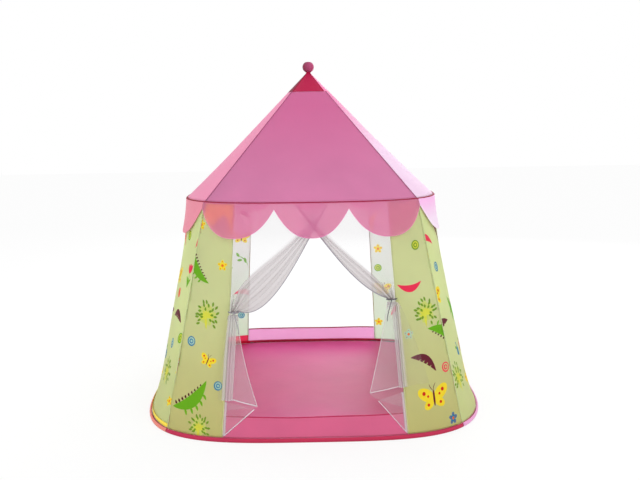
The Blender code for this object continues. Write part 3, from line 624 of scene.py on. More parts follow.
def band(name, path, wide, half_width, half_thick, sides=8, closed=False, pucker=None):
    """A tape or cord along a path: wide is the way its width lies, at each point or for all."""
    path = np.asarray(path, float)
    if closed:
        path = np.vstack([path, path[:1]])
        tangent = np.roll(path[:-1], -1, axis=0) - np.roll(path[:-1], 1, axis=0)
        tangent = np.vstack([tangent, tangent[:1]])
    else:
        tangent = np.gradient(path, axis=0)
    tangent /= np.linalg.norm(tangent, axis=1)[:, None]
    wide = np.broadcast_to(np.asarray(wide, float), path.shape)
    wide = wide - (wide * tangent).sum(axis=1)[:, None] * tangent
    wide = wide / np.linalg.norm(wide, axis=1)[:, None]
    deep = np.cross(tangent, wide)
    along = running_length(path)
    last = len(path) - 1

    def place(across, up):
        index = np.rint(across * last).astype(int)
        angle = math.tau * up
        swell = 1 if pucker is None else pucker(along[index], angle)
        side = (half_width * swell * np.cos(angle))[:, None] * wide[index]
        return path[index] + side + (half_thick * swell * np.sin(angle))[:, None] * deep[index]

    round_it = 4 * (half_width + half_thick)

    def pattern(across, up):
        return np.stack([along[np.rint(across * last).astype(int)], up * round_it], axis=-1)

    piece = lay(name, last, sides, place, pattern)
    return edit(piece, weld, face_out) if closed else edit(piece, weld, cap_ends, face_out)


# Materials


class Nodes:
    """Short calls that add nodes to a tree. An input is given a value or another's output."""

    def __init__(self, tree):
        self.tree = tree

    def set(self, node, inputs):
        for name, value in inputs.items():
            socket = node.inputs[name]
            if isinstance(value, bpy.types.NodeSocket):
                self.tree.links.new(value, socket)
            else:
                socket.default_value = value

    def add(self, kind, inputs=None, **settings):
        node = self.tree.nodes.new("ShaderNode" + kind)
        for name, value in settings.items():
            setattr(node, name, value)
        self.set(node, inputs or {})
        return node

    def maths(self, operation, first, second=0.0, third=0.0):
        return self.add("Math", {0: first, 1: second, 2: third}, operation=operation).outputs[0]

    def blend(self, share, first, second):
        """Mixes two colours."""
        node = self.add("Mix", data_type="RGBA")
        self.set(node, {0: share, 6: first, 7: second})
        return node.outputs[2]

    def mix(self, share, first, second):
        """Mixes two shaders."""
        inputs = {0: share, 1: first.outputs[0], 2: second.outputs[0]}
        return self.add("MixShader", inputs).outputs[0]


class Look(Nodes):
    """A material under construction, with its Principled shader."""

    def __init__(self, name, tint, roughness, metallic=0.0, specular=0.5):
        self.material = bpy.data.materials.new(name)
        self.material.use_nodes = True
        super().__init__(self.material.node_tree)
        self.shader = self.tree.nodes["Principled BSDF"]
        self.output = self.tree.nodes["Material Output"]
        self.give({"Base Color": (*tint, 1), "Roughness": roughness, "Metallic": metallic})
        self.give({"Specular IOR Level": specular})
        where = self.add("TexCoord").outputs
        self.place, self.uv = where["Object"], where["UV"]

    def give(self, inputs):
        self.set(self.shader, inputs)

    def ramp(self, value, *stops):
        node = self.add("ValToRGB", {"Fac": value})
        ramp = node.color_ramp
        for i, (place, tint) in enumerate(stops):
            stop = ramp.elements[i] if i < 2 else ramp.elements.new(place)
            stop.position = place
            stop.color = (*tint, 1) if len(tint) == 3 else tint
        return node.outputs["Color"]

    def noise(self, where, scale, detail=3.0):
        inputs = {"Vector": where, "Scale": scale, "Detail": detail}
        return self.add("TexNoise", inputs).outputs["Fac"]

    def uneven(self, tint, scale, detail=4.0, least=0.95, most=1.04):
        """The tint, a little darker and lighter from place to place."""
        share = self.noise(self.place, scale, detail)
        return self.ramp(share, (0.3, scaled_tint(tint, least)), (0.7, scaled_tint(tint, most)))

    def rise(self, low, high, start=0.0, end=1.0):
        """A value that goes from start to end between two heights."""
        height = self.add("SeparateXYZ", {0: self.place}).outputs["Z"]
        return self.add("MapRange", {0: height, 1: low, 2: high, 3: start, 4: end}).outputs[0]

    def ribs(self, where, scale, way="X"):
        """Even ridges across one direction."""
        inputs = {"Vector": where, "Scale": scale}
        return self.add("TexWave", inputs, bands_direction=way).outputs["Fac"]

    def weave(self, period):
        """The height of a plain weave whose threads are this far apart, on the UV map."""
        often = per_metre(period)
        return self.maths("MULTIPLY", self.ribs(self.uv, often), self.ribs(self.uv, often, "Y"))

    def bump(self, height, distance, strength=1.0, under=None):
        node = self.add("Bump", {"Height": height, "Distance": distance, "Strength": strength})
        if under is not None:
            self.set(node, {"Normal": under})
        return node.outputs["Normal"]

    def crease(self, scale, depth):
        """Soft creases with the fine weave over them."""
        soft = self.bump(self.noise(self.place, scale, 2.0), depth, 0.5)
        self.give({"Normal": self.bump(self.weave(WEAVE_PERIOD), WEAVE_DEPTH, 0.4, soft)})

    def let_light_through(self, share, tint):
        """Mixes in light from behind the cloth.

        The light passes two faces, so each takes half the tint."""
        half_tint = self.add("Gamma", {"Color": tint, "Gamma": 0.5}).outputs[0]
        through = self.add("BsdfTranslucent", {"Color": half_tint})
        self.set(self.output, {"Surface": self.mix(share, self.shader, through)})


def per_metre(period):
    """The Wave Texture's scale for waves this far apart."""
    return math.tau / (20 * period)


LOOKS = {}
LOST_IN_CLOTH = 0.40
WEAVE_PERIOD = 0.0009
WEAVE_DEPTH = 0.00008
VOILE_PERIOD = 0.0012
STITCH_PITCH = 0.0035
STITCH_SHARE = 0.62


def remembered(maker):
    """Makes each material once."""

    def ask(name, *args, **kwargs):
        if name not in LOOKS:
            LOOKS[name] = maker(name, *args, **kwargs)
        return LOOKS[name]

    return ask


def scaled_tint(tint, share):
    """A tint made darker or paler by a share."""
    return tuple(min(c * share, 1) for c in tint[:3])


def lifted(tint, through):
    """What cloth with this share of translucency is coloured to render about as written."""
    return scaled_tint(tint, 1 + LOST_IN_CLOTH * through)


@remembered
def taffeta(name, tint, roughness=0.55, through=0.40, creases=0.0012, above=None, alpha=1.0):
    """Thin woven polyester: fine weave, soft creases, uneven tone and some light through it.

    Above gives a second tint for painted shade and light that change with height, and the heights
    between which the first turns into it."""
    tint = lifted(tint, through)
    look = Look(name, tint, roughness, specular=0.25)
    tone = look.uneven(tint, 5.0)
    if above:
        higher, low, high = above
        # Painted shade and light: the tint turns into the second one between two heights.
        tone = look.blend(look.rise(low, high), tone, (*lifted(higher, through), 1))
    look.give({"Base Color": tone, "Sheen Weight": 0.05, "Sheen Roughness": 0.4, "Alpha": alpha})
    look.crease(16.0, creases * 4)
    if through:
        look.let_light_through(through, tone)
    return look.material


@remembered
def printed_cloth(name, tint, foot, through=0.50):
    """The walls' cloth, with its print read from the colour attribute, and painted shade from foot
    that darkens it towards the floor.
    """
    tint, foot = lifted(tint, through), lifted(foot, through)
    look = Look(name, tint, 0.6, specular=0.2)
    tone = look.uneven(tint, 4.0)
    # Painted shade: the cloth turns darker towards the floor.
    tone = look.blend(look.rise(0.0, 0.5, 0.8, 0.0), tone, (*foot, 1))
    ink = look.add("VertexColor", layer_name="print")
    inked = look.maths("MULTIPLY", ink.outputs["Alpha"], 0.97)
    tone = look.blend(inked, tone, ink.outputs["Color"])
    look.give({"Base Color": tone, "Sheen Weight": 0.03})
    look.crease(14.0, 0.005)
    look.let_light_through(through, tone)
    return look.material


@remembered
def tape(name, tint, roughness=0.6):
    """Ribbed binding tape with a row of lighter stitches along it."""
    look = Look(name, tint, roughness, specular=0.15)
    along = look.add("SeparateXYZ", {0: look.uv}).outputs["X"]
    dash = look.maths("FRACT", look.maths("DIVIDE", along, STITCH_PITCH))
    dash = look.maths("LESS_THAN", dash, STITCH_SHARE)
    ribs = look.ribs(look.uv, 260.0)
    # Painted shade: the hollows between the ribs are painted darker.
    tone = look.ramp(ribs, (0.0, scaled_tint(tint, 0.86)), (1.0, tuple(tint)))
    pale = tuple(min(c * 1.25 + 0.02, 1) for c in tint)
    tone = look.blend(look.maths("MULTIPLY", dash, 0.15), tone, (*pale, 1))
    look.give({"Base Color": tone, "Normal": look.bump(ribs, 0.00005, 0.6)})
    return look.material


@remembered
def voile(name, tint, gathered, alphas):
    """Open white mesh that shows what is behind it, less so where it is gathered; there it is also
    painted greyer, as painted shade in the folds.
    """
    look = Look(name, tint, 0.8, specular=0.15)
    bunch = look.add("Attribute", attribute_name="bunch").outputs["Fac"]
    # Painted shade: where gathered, the mesh turns to the greyer fold tint.
    tone = look.blend(bunch, look.uneven(tint, 9.0, 3.0, 0.96, 1.03), (*gathered, 1))
    dense = look.maths("MULTIPLY_ADD", bunch, alphas[1] - alphas[0], alphas[0])
    look.give({"Base Color": tone, "Alpha": dense})
    look.give({"Normal": look.bump(look.weave(VOILE_PERIOD), 0.0001, 0.3)})
    return look.material


@remembered
def twisted_cord(name, tint, turn=0.006):
    """A cord of twisted strands, on the UV map that runs along it."""
    look = Look(name, tint, 0.85)
    slant = look.add("Mapping", {"Vector": look.uv, "Rotation": (0, 0, 0.9)})
    strands = look.ribs(slant.outputs[0], per_metre(turn))
    # Painted shade: the hollows between the strands are painted darker.
    tone = look.ramp(strands, (0.1, scaled_tint(tint, 0.6)), (0.6, tuple(tint)))
    look.give({"Base Color": tone, "Normal": look.bump(strands, 0.0004, 0.8)})
    return look.material


@remembered
def drawn_steel(name, tint):
    """Spring steel with fine drawing marks."""
    look = Look(name, tint, 0.35, metallic=1.0)
    streaks = look.add("Mapping", {"Vector": look.place, "Scale": (1, 1, 0.1)})
    marks = look.noise(streaks.outputs[0], 220.0, 2.0)
    look.give({"Roughness": look.maths("MULTIPLY_ADD", marks, 0.2, 0.25)})
    look.give({"Normal": look.bump(marks, 0.00005, 0.4)})
    return look.material


@remembered
def glass_fibre(name, tint):
    """Drawn rod with faint fibres along it."""
    look = Look(name, tint, 0.4)
    along = look.add("Mapping", {"Vector": look.place, "Scale": (1, 1, 0.03)})
    fibres = look.noise(along.outputs[0], 900.0, 2.0)
    tone = look.ramp(fibres, (0.3, scaled_tint(tint, 0.85)), (0.7, tuple(tint)))
    look.give({"Base Color": tone, "Normal": look.bump(fibres, 0.00008, 0.5)})
    return look.material


@remembered
def moulded_plastic(name, tint):
    """White plastic with a fine moulded grain."""
    look = Look(name, tint, 0.42)
    grain = look.noise(look.place, 1400.0, 2.0)
    tone = look.uneven(tint, 30.0, 3.0, 0.95, 1.0)
    look.give({"Base Color": tone, "Normal": look.bump(grain, 0.00006, 0.5)})
    return look.material


# The print's motifs: lists of (outline, colour), in metres round their own middles


def ring_of(count):
    return np.linspace(0, math.tau, count, endpoint=False)


def spun(points, turn):
    """Points turned round the motif's middle."""
    c, s = math.cos(turn), math.sin(turn)
    return points @ np.array([[c, s], [-s, c]])


def oval(x, y, rx, ry, turn=0.0, count=22):
    t = ring_of(count)
    points = np.stack([rx * np.cos(t), ry * np.sin(t)], axis=1)
    return spun(points, turn) + (x, y)


def spot(x, y, radius, count):
    return oval(x, y, radius, radius, 0.0, count)


def leaf(x, y, long, wide, turn, bend=0.0, count=12):
    """A pointed leaf that starts at (x, y)."""
    t = np.linspace(0, 1, count)
    middle = np.stack([long * t, bend * long * t * (1 - t) * 4], axis=1)
    half = np.stack([np.zeros(count), leaf_half(wide, t)], axis=1)
    return spun(np.vstack([middle + half, (middle - half)[-2:0:-1]]), turn) + (x, y)


def leaf_half(wide, t):
    return wide / 2 * np.sin(math.pi * t) ** 0.8


def vein(long, bend, t):
    """A point on the middle line of a leaf that is centred on the motif."""
    return long * (t - 0.5), bend * long * t * (1 - t) * 4


def sprig(maker, ink="leaf"):
    """A round bush: leaf specks that point outward round a pale branch."""
    t = ring_of(40)
    reach = 0.030 + 0.0035 * np.sin(5 * t + maker.uniform(0, 6)) + 0.002 * np.sin(9 * t)
    bush = np.stack([reach * np.cos(t), reach * np.sin(t) + 0.002], axis=1)
    shapes = [(bush, "pale"), (leaf(0, -0.044, 0.048, 0.009, math.pi / 2, 0.06), "lime")]
    shapes += [(leaf(0, -0.008, 0.026, 0.008, 0.1 + 0.5 * i, 0.1), "lime") for i in range(7)]
    for count, reach, long in ((7, 0.014, 0.012), (10, 0.024, 0.014), (13, 0.033, 0.015)):
        for i in range(count):
            angle = math.tau * (i + maker.uniform(-0.25, 0.25)) / count
            out = reach * maker.uniform(0.90, 1.08)
            if math.sin(angle) < -0.85:
                continue
            x, y = out * math.cos(angle), out * math.sin(angle)
            turn = angle + maker.uniform(-0.6, 0.6)
            shapes.append((leaf(x, y, long, 0.0074, turn), ink))
    return shapes


def swirl(maker, ink=("blue", "sky")):
    """Rings of two inks, each a little off the last one's middle."""
    first, second = ink
    return [
        (spot(0, 0, 0.0158, 22), first),
        (spot(0.0008, 0.0005, 0.0118, 22), second),
        (spot(0, 0, 0.0080, 22), first),
        (spot(0.0006, 0, 0.0042, 14), second),
    ]


def fruit(maker, ink="red"):
    """A plump fruit with a long stalk, a leaf and a glint of bare cloth."""
    return [
        (oval(0, -0.008, 0.0125, 0.0165), ink),
        (leaf(-0.003, 0.004, 0.024, 0.006, math.pi / 2 + 0.2, 0.1), ink),
        (leaf(0.001, 0.008, 0.018, 0.010, 0.9), "green"),
        (leaf(-0.006, -0.004, 0.010, 0.0032, -1.4, 0.2), "bare"),
    ]


def blossom(maker, ink="yellow"):
    """Five petals round an orange middle, with a red speck on each."""
    shapes, specks = [], []
    for i in range(5):
        angle = math.tau * i / 5 + 0.3
        c, s = math.cos(angle), math.sin(angle)
        shapes.append((oval(0.0085 * c, 0.0085 * s, 0.0072, 0.0050, angle, 12), ink))
        specks.append((spot(0.011 * c, 0.011 * s, 0.0014, 8), "red"))
    return [*shapes, (spot(0, 0, 0.0042, 12), "orange"), *specks]


def petal(maker, ink="crimson"):
    """One long curved petal that has blown off a flower."""
    long = 0.090
    return [(leaf(-long / 2, 0, long, 0.022, 0, 0.20, 16), ink)]


def frond(maker, ink="green"):
    """A heavy fern frond, its leaflets along one edge and dark berries along the other."""
    long, wide, bend = 0.170, 0.040, -0.16
    shapes = [(leaf(-long / 2, 0, long, wide, 0, bend, 22), ink)]
    for i in range(9):
        t = 0.14 + 0.085 * i
        x, y = vein(long, bend, t)
        size = 0.0066 * (1.15 - t * 0.6)
        berry = leaf(x, y + leaf_half(wide, t) - 0.001, 2.1 * size, 1.25 * size, 1.75 - t, 0.1, 8)
        shapes.append((berry, "maroon"))
    for i in range(5):
        t = 0.25 + 0.13 * i
        x, y = vein(long, bend, t)
        y += 0.003 - leaf_half(0.85 * wide, t)
        shapes.append((leaf(x, y, 0.024, 0.009, -1.9 + 0.5 * t, 0.1, 8), ink))
    return shapes


def butterfly(maker, ink="yellow"):
    """Two pairs of spotted wings, a body and feelers."""
    shapes = []
    for way in (1, -1):
        shapes += [
            (oval(0.021 * way, 0.010, 0.023, 0.014, 0.55 * way, 18), ink),
            (oval(0.015 * way, -0.012, 0.015, 0.010, -0.6 * way, 16), ink),
            (spot(0.026 * way, 0.014, 0.0045, 10), "red"),
            (spot(0.016 * way, 0.006, 0.0030, 8), "red"),
            (spot(0.017 * way, -0.013, 0.0036, 10), "red"),
            (leaf(0, 0.016, 0.020, 0.0018, math.pi / 2 - 0.5 * way, 0.1, 8), "plum"),
        ]
    return [*shapes, (oval(0, 0, 0.0028, 0.019, 0, 12), "plum")]


def tulip(maker, ink="crimson"):
    """A stalk with two leaves and a bloom of three petals."""
    shapes = [
        (leaf(0, -0.052, 0.050, 0.0045, math.pi / 2, 0.04), "green"),
        (leaf(0, -0.050, 0.040, 0.011, 1.1, 0.12), "green"),
        (leaf(0, -0.050, 0.034, 0.010, 2.1, -0.12), "green"),
    ]
    petals = [(leaf(0, -0.006, 0.032, 0.015, turn), ink) for turn in (1.15, 1.99, math.pi / 2)]
    return shapes + petals


def plume(maker, ink="maroon"):
    """A dark feather: a curved vane with notches of bare cloth."""
    long, bend = 0.100, 0.18
    shapes = [(leaf(-long / 2, 0, long, 0.026, 0, bend, 18), ink)]
    for i in range(4):
        x, y = vein(long, bend, 0.30 + 0.14 * i)
        shapes.append((leaf(x, y - 0.016, 0.012, 0.0032, 1.2, 0.0, 6), "bare"))
    return shapes


def leaf_trail(maker, ink="lime"):
    """A trail of three leaves on one bent stalk."""
    shapes = [(leaf(-0.034, -0.012, 0.072, 0.0045, 0.3, 0.15), ink)]
    for i, turn in enumerate((0.9, -0.5, 0.5)):
        shapes.append((leaf(-0.018 + 0.020 * i, -0.004 + 0.006 * i, 0.026, 0.012, turn), ink))
    return shapes


def hill(maker, ink="amber"):
    """A broad plain shape that hangs from the eave, with a leg beside the doorway."""
    corners = (
        (-0.075, 0.056), (-0.078, -0.010), (-0.052, -0.028), (-0.024, -0.022),
        (-0.010, -0.002), (0.010, 0.012), (0.028, 0.003), (0.038, -0.032),
        (0.046, -0.066), (0.075, -0.070), (0.075, 0.056),
    )
    return [(np.array(corners), ink)]


def foot_patch(maker, ink="crimson"):
    """The plain patch at the foot of the back wall's left strip."""
    wide, tall = 0.09, 0.019
    return [(np.array(((-wide, -tall), (wide, -tall), (wide, tall), (-wide, tall))), ink)]


# The strips beside the doorways: motif, ink, metres from the doorway's middle, height, size, turn
STRIP_PRINTS = {
    ("front", "left"): [
        (hill, "amber", 0.345, 0.772, 1.0, 0.0),
        (blossom, "yellow", 0.440, 0.745, 1.3, 0.0),
        (tulip, "blue", 0.520, 0.690, 0.60, 0.1),
        (frond, "green", 0.430, 0.590, 0.80, 1.0),
        (blossom, "yellow", 0.338, 0.600, 1.3, 0.0),
        (fruit, "red", 0.505, 0.470, 1.35, 0.0),
        (petal, "red", 0.580, 0.430, 0.9, 1.4),
        (sprig, "leaf", 0.400, 0.420, 1.15, 0.0),
        (swirl, ("blue", "sky"), 0.462, 0.325, 1.1, 0.0),
        (fruit, "blue", 0.535, 0.275, 1.25, 0.2),
        (butterfly, "yellow", 0.392, 0.262, 0.75, 0.4),
        (frond, "green", 0.465, 0.145, 1.02, -0.62),
        (swirl, ("blue", "sky"), 0.350, 0.180, 1.0, 0.0),
        (sprig, "leaf", 0.420, 0.040, 0.95, 0.0),
    ],
    ("front", "right"): [
        (swirl, ("leaf", "lime"), 0.398, 0.660, 1.15, 0.0),
        (fruit, "blue", 0.490, 0.590, 1.2, 0.1),
        (petal, "crimson", 0.366, 0.525, 1.15, 3.2),
        (sprig, "leaf", 0.428, 0.415, 1.15, 0.0),
        (frond, "green", 0.500, 0.315, 0.95, 2.6),
        (plume, "plum", 0.405, 0.235, 1.15, -0.5),
        (swirl, ("crimson", "bare"), 0.500, 0.215, 1.1, 0.0),
        (butterfly, "yellow", 0.440, 0.120, 1.50, 0.1),
        (blossom, "blue", 0.520, 0.040, 1.3, 0.0),
        (blossom, "sky", 0.352, 0.345, 1.2, 0.0),
        (sprig, "leaf", 0.600, 0.170, 0.8, 0.0),
    ],
    ("back", "left"): [
        (petal, "plum", 0.340, 0.680, 0.9, 0.3),
        (butterfly, "yellow", 0.350, 0.570, 1.1, 0.1),
        (leaf_trail, "green", 0.345, 0.450, 1.1, 0.5),
        (petal, "crimson", 0.345, 0.265, 1.2, 0.2),
        (sprig, "leaf", 0.445, 0.420, 1.0, 0.0),
        (foot_patch, "crimson", 0.355, 0.028, 1.0, 0.0),
        (tulip, "crimson", 0.470, 0.700, 1.1, 0.0),
        (frond, "green", 0.460, 0.260, 0.8, 1.2),
        (swirl, ("blue", "sky"), 0.360, 0.160, 1.1, 0.0),
        (fruit, "red", 0.500, 0.110, 1.1, 0.0),
        (fruit, "blue", 0.550, 0.560, 1.0, 0.0),
    ],
    ("back", "right"): [
        (blossom, "yellow", 0.345, 0.500, 1.5, 0.0),
        (petal, "yellow", 0.335, 0.640, 1.2, 1.3),
        (leaf_trail, "lime", 0.345, 0.755, 1.2, 0.2),
        (sprig, "leaf", 0.445, 0.620, 1.0, 0.0),
        (swirl, ("green", "lime"), 0.345, 0.400, 1.2, 0.0),
        (fruit, "blue", 0.450, 0.450, 1.1, 0.0),
        (butterfly, "yellow", 0.370, 0.290, 1.1, 0.0),
        (petal, "crimson", 0.460, 0.180, 1.2, 0.6),
        (tulip, "crimson", 0.520, 0.330, 1.1, 0.0),
        (blossom, "yellow", 0.350, 0.110, 1.4, 0.0),
    ],
}

# The side walls: motif, ink, reach from its middle, how many, the largest first
SCATTERED_PRINTS = (
    (frond, "green", 0.088, 3),
    (sprig, "leaf", 0.046, 6),
    (plume, "plum", 0.050, 3),
    (tulip, "crimson", 0.050, 2),
    (petal, "crimson", 0.046, 4),
    (butterfly, "yellow", 0.044, 4),
    (fruit, "blue", 0.030, 5),
    (fruit, "red", 0.030, 5),
    (swirl, ("green", "lime"), 0.016, 3),
    (swirl, ("blue", "sky"), 0.016, 3),
    (swirl, ("crimson", "orange"), 0.016, 3),
    (blossom, "yellow", 0.016, 6),
)
SCATTERED_SIZE = 1.2
SCATTERED_APART = 0.010
SCATTERED_HALF_WIDTH = 0.56
SCATTERED_HEIGHTS = (0.05, 0.80)
SCATTERED_SEEDS = {"left": 11, "right": 23}
STRIP_SEED = 3


def placed(shapes, x, y, size=1.0, turn=0.0, flip=False):
    """A motif's shapes, sized, turned and moved to their place on the flat cloth."""
    way = np.array((-1.0 if flip else 1.0, 1.0))
    return [(spun(points * way * size, turn) + (x, y), ink) for points, ink in shapes]


def scattered(side):
    """Motifs over a whole side wall, each clear of the others."""
    maker = random.Random(SCATTERED_SEEDS[side])
    half, (low, high) = SCATTERED_HALF_WIDTH, SCATTERED_HEIGHTS
    taken, shapes = [], []
    for make, ink, reach, count in SCATTERED_PRINTS:
        reach *= SCATTERED_SIZE
        wanted = len(taken) + count
        for _ in range(200):
            x = maker.uniform(-half + reach, half - reach)
            y = maker.uniform(low + reach, high - reach)
            apart = reach + SCATTERED_APART
            if any(math.hypot(x - a, y - b) < apart + r for a, b, r in taken):
                continue
            taken.append((x, y, reach))
            turn = 0 if make in (sprig, tulip) else maker.uniform(-0.9, 0.9)
            motif = make(maker, ink)
            shapes += placed(motif, x, y, SCATTERED_SIZE, turn, maker.random() < 0.5)
            if len(taken) == wanted:
                break
    return shapes


def strip_print(maker, side, hand):
    """The chosen motifs of one strip, mirrored to its own side of the doorway."""
    facing = HANDS[hand] * (1 if side == "front" else -1)
    shapes = []
    for make, ink, x, y, size, turn in STRIP_PRINTS[side, hand]:
        shapes += placed(make(maker, ink), facing * x, y, size, facing * turn)
    return facing, shapes


# Sheets cut to a flat pattern


class WallPattern:
    """Turns flat cloth, (metres round from the middle of the side, height), onto the wall."""

    def __init__(self, form, side, top):
        self.form = form
        self.side = side
        self.heights = np.linspace(0, top + 0.01, 26)
        self.turns = np.linspace(0, 1, 70)
        self.round = []
        for height in self.heights:
            points = form.wall(side, self.turns, height)
            self.round.append(running_length(points))
        self.round = np.array(self.round)

    def span(self, turn, height):
        """How far round the wall this turn lies from the middle of the side."""
        rows = [np.interp(turn, self.turns, row) for row in self.round]
        return float(np.interp(height, self.heights, rows))

    def place(self, along, height, proud=0.0):
        at = np.clip(np.searchsorted(self.heights, height) - 1, 0, len(self.heights) - 2)
        share = (height - self.heights[at]) / (self.heights[at + 1] - self.heights[at])
        found = np.empty((2, len(along)))
        for i, row in enumerate(self.round):
            here = np.interp(np.abs(along), row, self.turns)
            found[0] = np.where(at == i, here, found[0])
            found[1] = np.where(at + 1 == i, here, found[1])
        turn = lerp(found[0], found[1], share) * np.sign(along)
        return self.form.wall(self.side, turn, height, proud)


CUT_SPACING = 0.013
CUT_TOLERANCE = 0.00001
INK_THROUGH = 0.35
LEAST_FILLED = 0.30
WALL_ROWS = 60
WALL_SLACK = 0.0035
SLACK_FROM_EDGE = 0.05


def cut_cloth(name, outline, shapes, place):
    """A mesh cut along its outline and round each printed shape, and laid in place."""
    points = [Vector(p) for p in outline]
    faces = [list(range(len(points)))]
    inks = [(0.0, 0.0, 0.0, 0.0)]
    for shape, ink in shapes:
        start = len(points)
        points += [Vector(p) for p in anticlockwise(shape)]
        faces.append(list(range(start, len(points))))
        inks.append((*lifted(PRINT[ink], INK_THROUGH), 0.0 if ink == "bare" else 1.0))
    box = np.array(outline)
    low, high = box.min(axis=0), box.max(axis=0)
    xs = np.arange(low[0] + CUT_SPACING / 2, high[0], CUT_SPACING)
    ys = np.arange(low[1] + CUT_SPACING / 2, high[1], CUT_SPACING)
    points += [Vector((x, y)) for x in xs for y in ys if inside(x, y, box)]
    cut = delaunay_2d_cdt(points, [], faces, 0, CUT_TOLERANCE, True)
    verts, _, found, _, _, sources = cut
    kept = [(face, source) for face, source in zip(found, sources) if 0 in source]
    flat = np.array(verts)
    used = sorted({v for face, _ in kept for v in face})
    renumbered = {v: i for i, v in enumerate(used)}
    flat = flat[used]
    data = bpy.data.meshes.new(name)
    solid = place(flat[:, 0], flat[:, 1])
    data.from_pydata(
        [tuple(p) for p in solid], [], [[renumbered[v] for v in face] for face, _ in kept]
    )
    corners = flat[vertex_of_each_corner(data)]
    data.uv_layers.new(name="UVMap").data.foreach_set("uv", corners.reshape(-1))
    ink = data.color_attributes.new("print", "FLOAT_COLOR", "CORNER")
    tints = [inks[max(source)] for face, source in kept for _ in face]
    ink.data.foreach_set("color", np.array(tints).reshape(-1))
    piece = bpy.data.objects.new(name, data)
    bpy.context.scene.collection.objects.link(piece)
    return piece


def anticlockwise(shape):
    x, y = shape[:, 0], shape[:, 1]
    area = (x * np.roll(y, -1) - np.roll(x, -1) * y).sum()
    return shape if area > 0 else shape[::-1]


def inside(x, y, outline):
    """Whether a point lies in an outline, by the crossings of a line from it."""
    x0, y0 = outline[:, 0], outline[:, 1]
    x1, y1 = np.roll(x0, -1), np.roll(y0, -1)
    crosses = (y0 > y) != (y1 > y)
    with np.errstate(divide="ignore", invalid="ignore"):
        at = x0 + (y - y0) / (y1 - y0) * (x1 - x0)
    return bool((crosses & (x < at)).sum() % 2)


def wall_piece(form, name, side, left, right, shapes):
    """A printed wall between two edges, each a function from height to metres round."""
    bottom, top = WALL_FOOT, form.wall_top
    pattern = WallPattern(form, side, form.eave_height)
    heights = np.linspace(bottom, top, WALL_ROWS)
    round_right = [(right(pattern, h), h) for h in heights]
    round_left = [(left(pattern, h), h) for h in heights[::-1]]
    along = np.linspace(left(pattern, bottom), right(pattern, bottom), WALL_ROWS)[1:-1]
    above = np.linspace(right(pattern, top), left(pattern, top), WALL_ROWS)[1:-1]
    outline = [(x, bottom) for x in along] + round_right
    outline += [(x, top) for x in above] + round_left
    seed = sum(map(ord, name))

    def place(x, h):
        to_edge = np.minimum(h - bottom, top - h)
        held = np.minimum(1, to_edge / SLACK_FROM_EDGE)
        return pattern.place(x, h, waves(x, h * 0.5, seed, WALL_SLACK) * held)

    return thicken(cut_cloth(name, outline, shapes, place), form.cloth)


def jamb_edge(form, facing):
    def edge(pattern, height):
        turn = float(form.turn_at(form.jamb(height) + SEAM_GAP, height))
        return facing * pattern.span(turn, height)

    return edge


def corner_edge(facing):
    return lambda pattern, height: facing * (pattern.span(1.0, height) - SEAM_GAP)


def declare(piece, with_pieces=(), layers=2):
    """Works out the size that the cloth was cut to, its box in the flat pattern, and its area, and
    keeps neither.
    """
    uv = np.empty(len(piece.data.loops) * 2)
    piece.data.uv_layers[0].data.foreach_get("uv", uv)
    uv = uv.reshape(-1, 2)
    width, tall = (float(v) for v in uv.max(axis=0) - uv.min(axis=0))
    area = min(sum(face.area for face in piece.data.polygons) / layers, width * tall)
    area = max(area, LEAST_FILLED * width * tall)
    return piece


# Operators


class TentOperator:
    """What the tent's operators share: they read the scene's sizes and colours."""

    bl_options = {"REGISTER", "UNDO"}

    def execute(self, context):
        form = TentForm(context.scene.tent_sizes)
        self.make(form, context.scene.tent_colours)
        return {"FINISHED"}


class TENT_OT_frame_finish(TentOperator, bpy.types.Operator):
    """Gives the hoops, ferrules, poles and plastic fittings their finishes"""

    bl_idname = "tent.frame_finish"
    bl_label = "Finish the frame"

    def make(self, form, colours):
        steel = drawn_steel("spring steel", colours.steel)
        fibre = glass_fibre("glass fibre", colours.fibre)
        plastic = moulded_plastic("white plastic", colours.plastic)
        for name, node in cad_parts.items():
            if "hoop" in name and "sleeve" not in name:
                look = steel
            elif name.endswith(("pole", "rib")):
                look = fibre
            elif name.endswith(("cup", "elbow", "hub")):
                look = plastic
            else:
                continue
            cover(node, look)


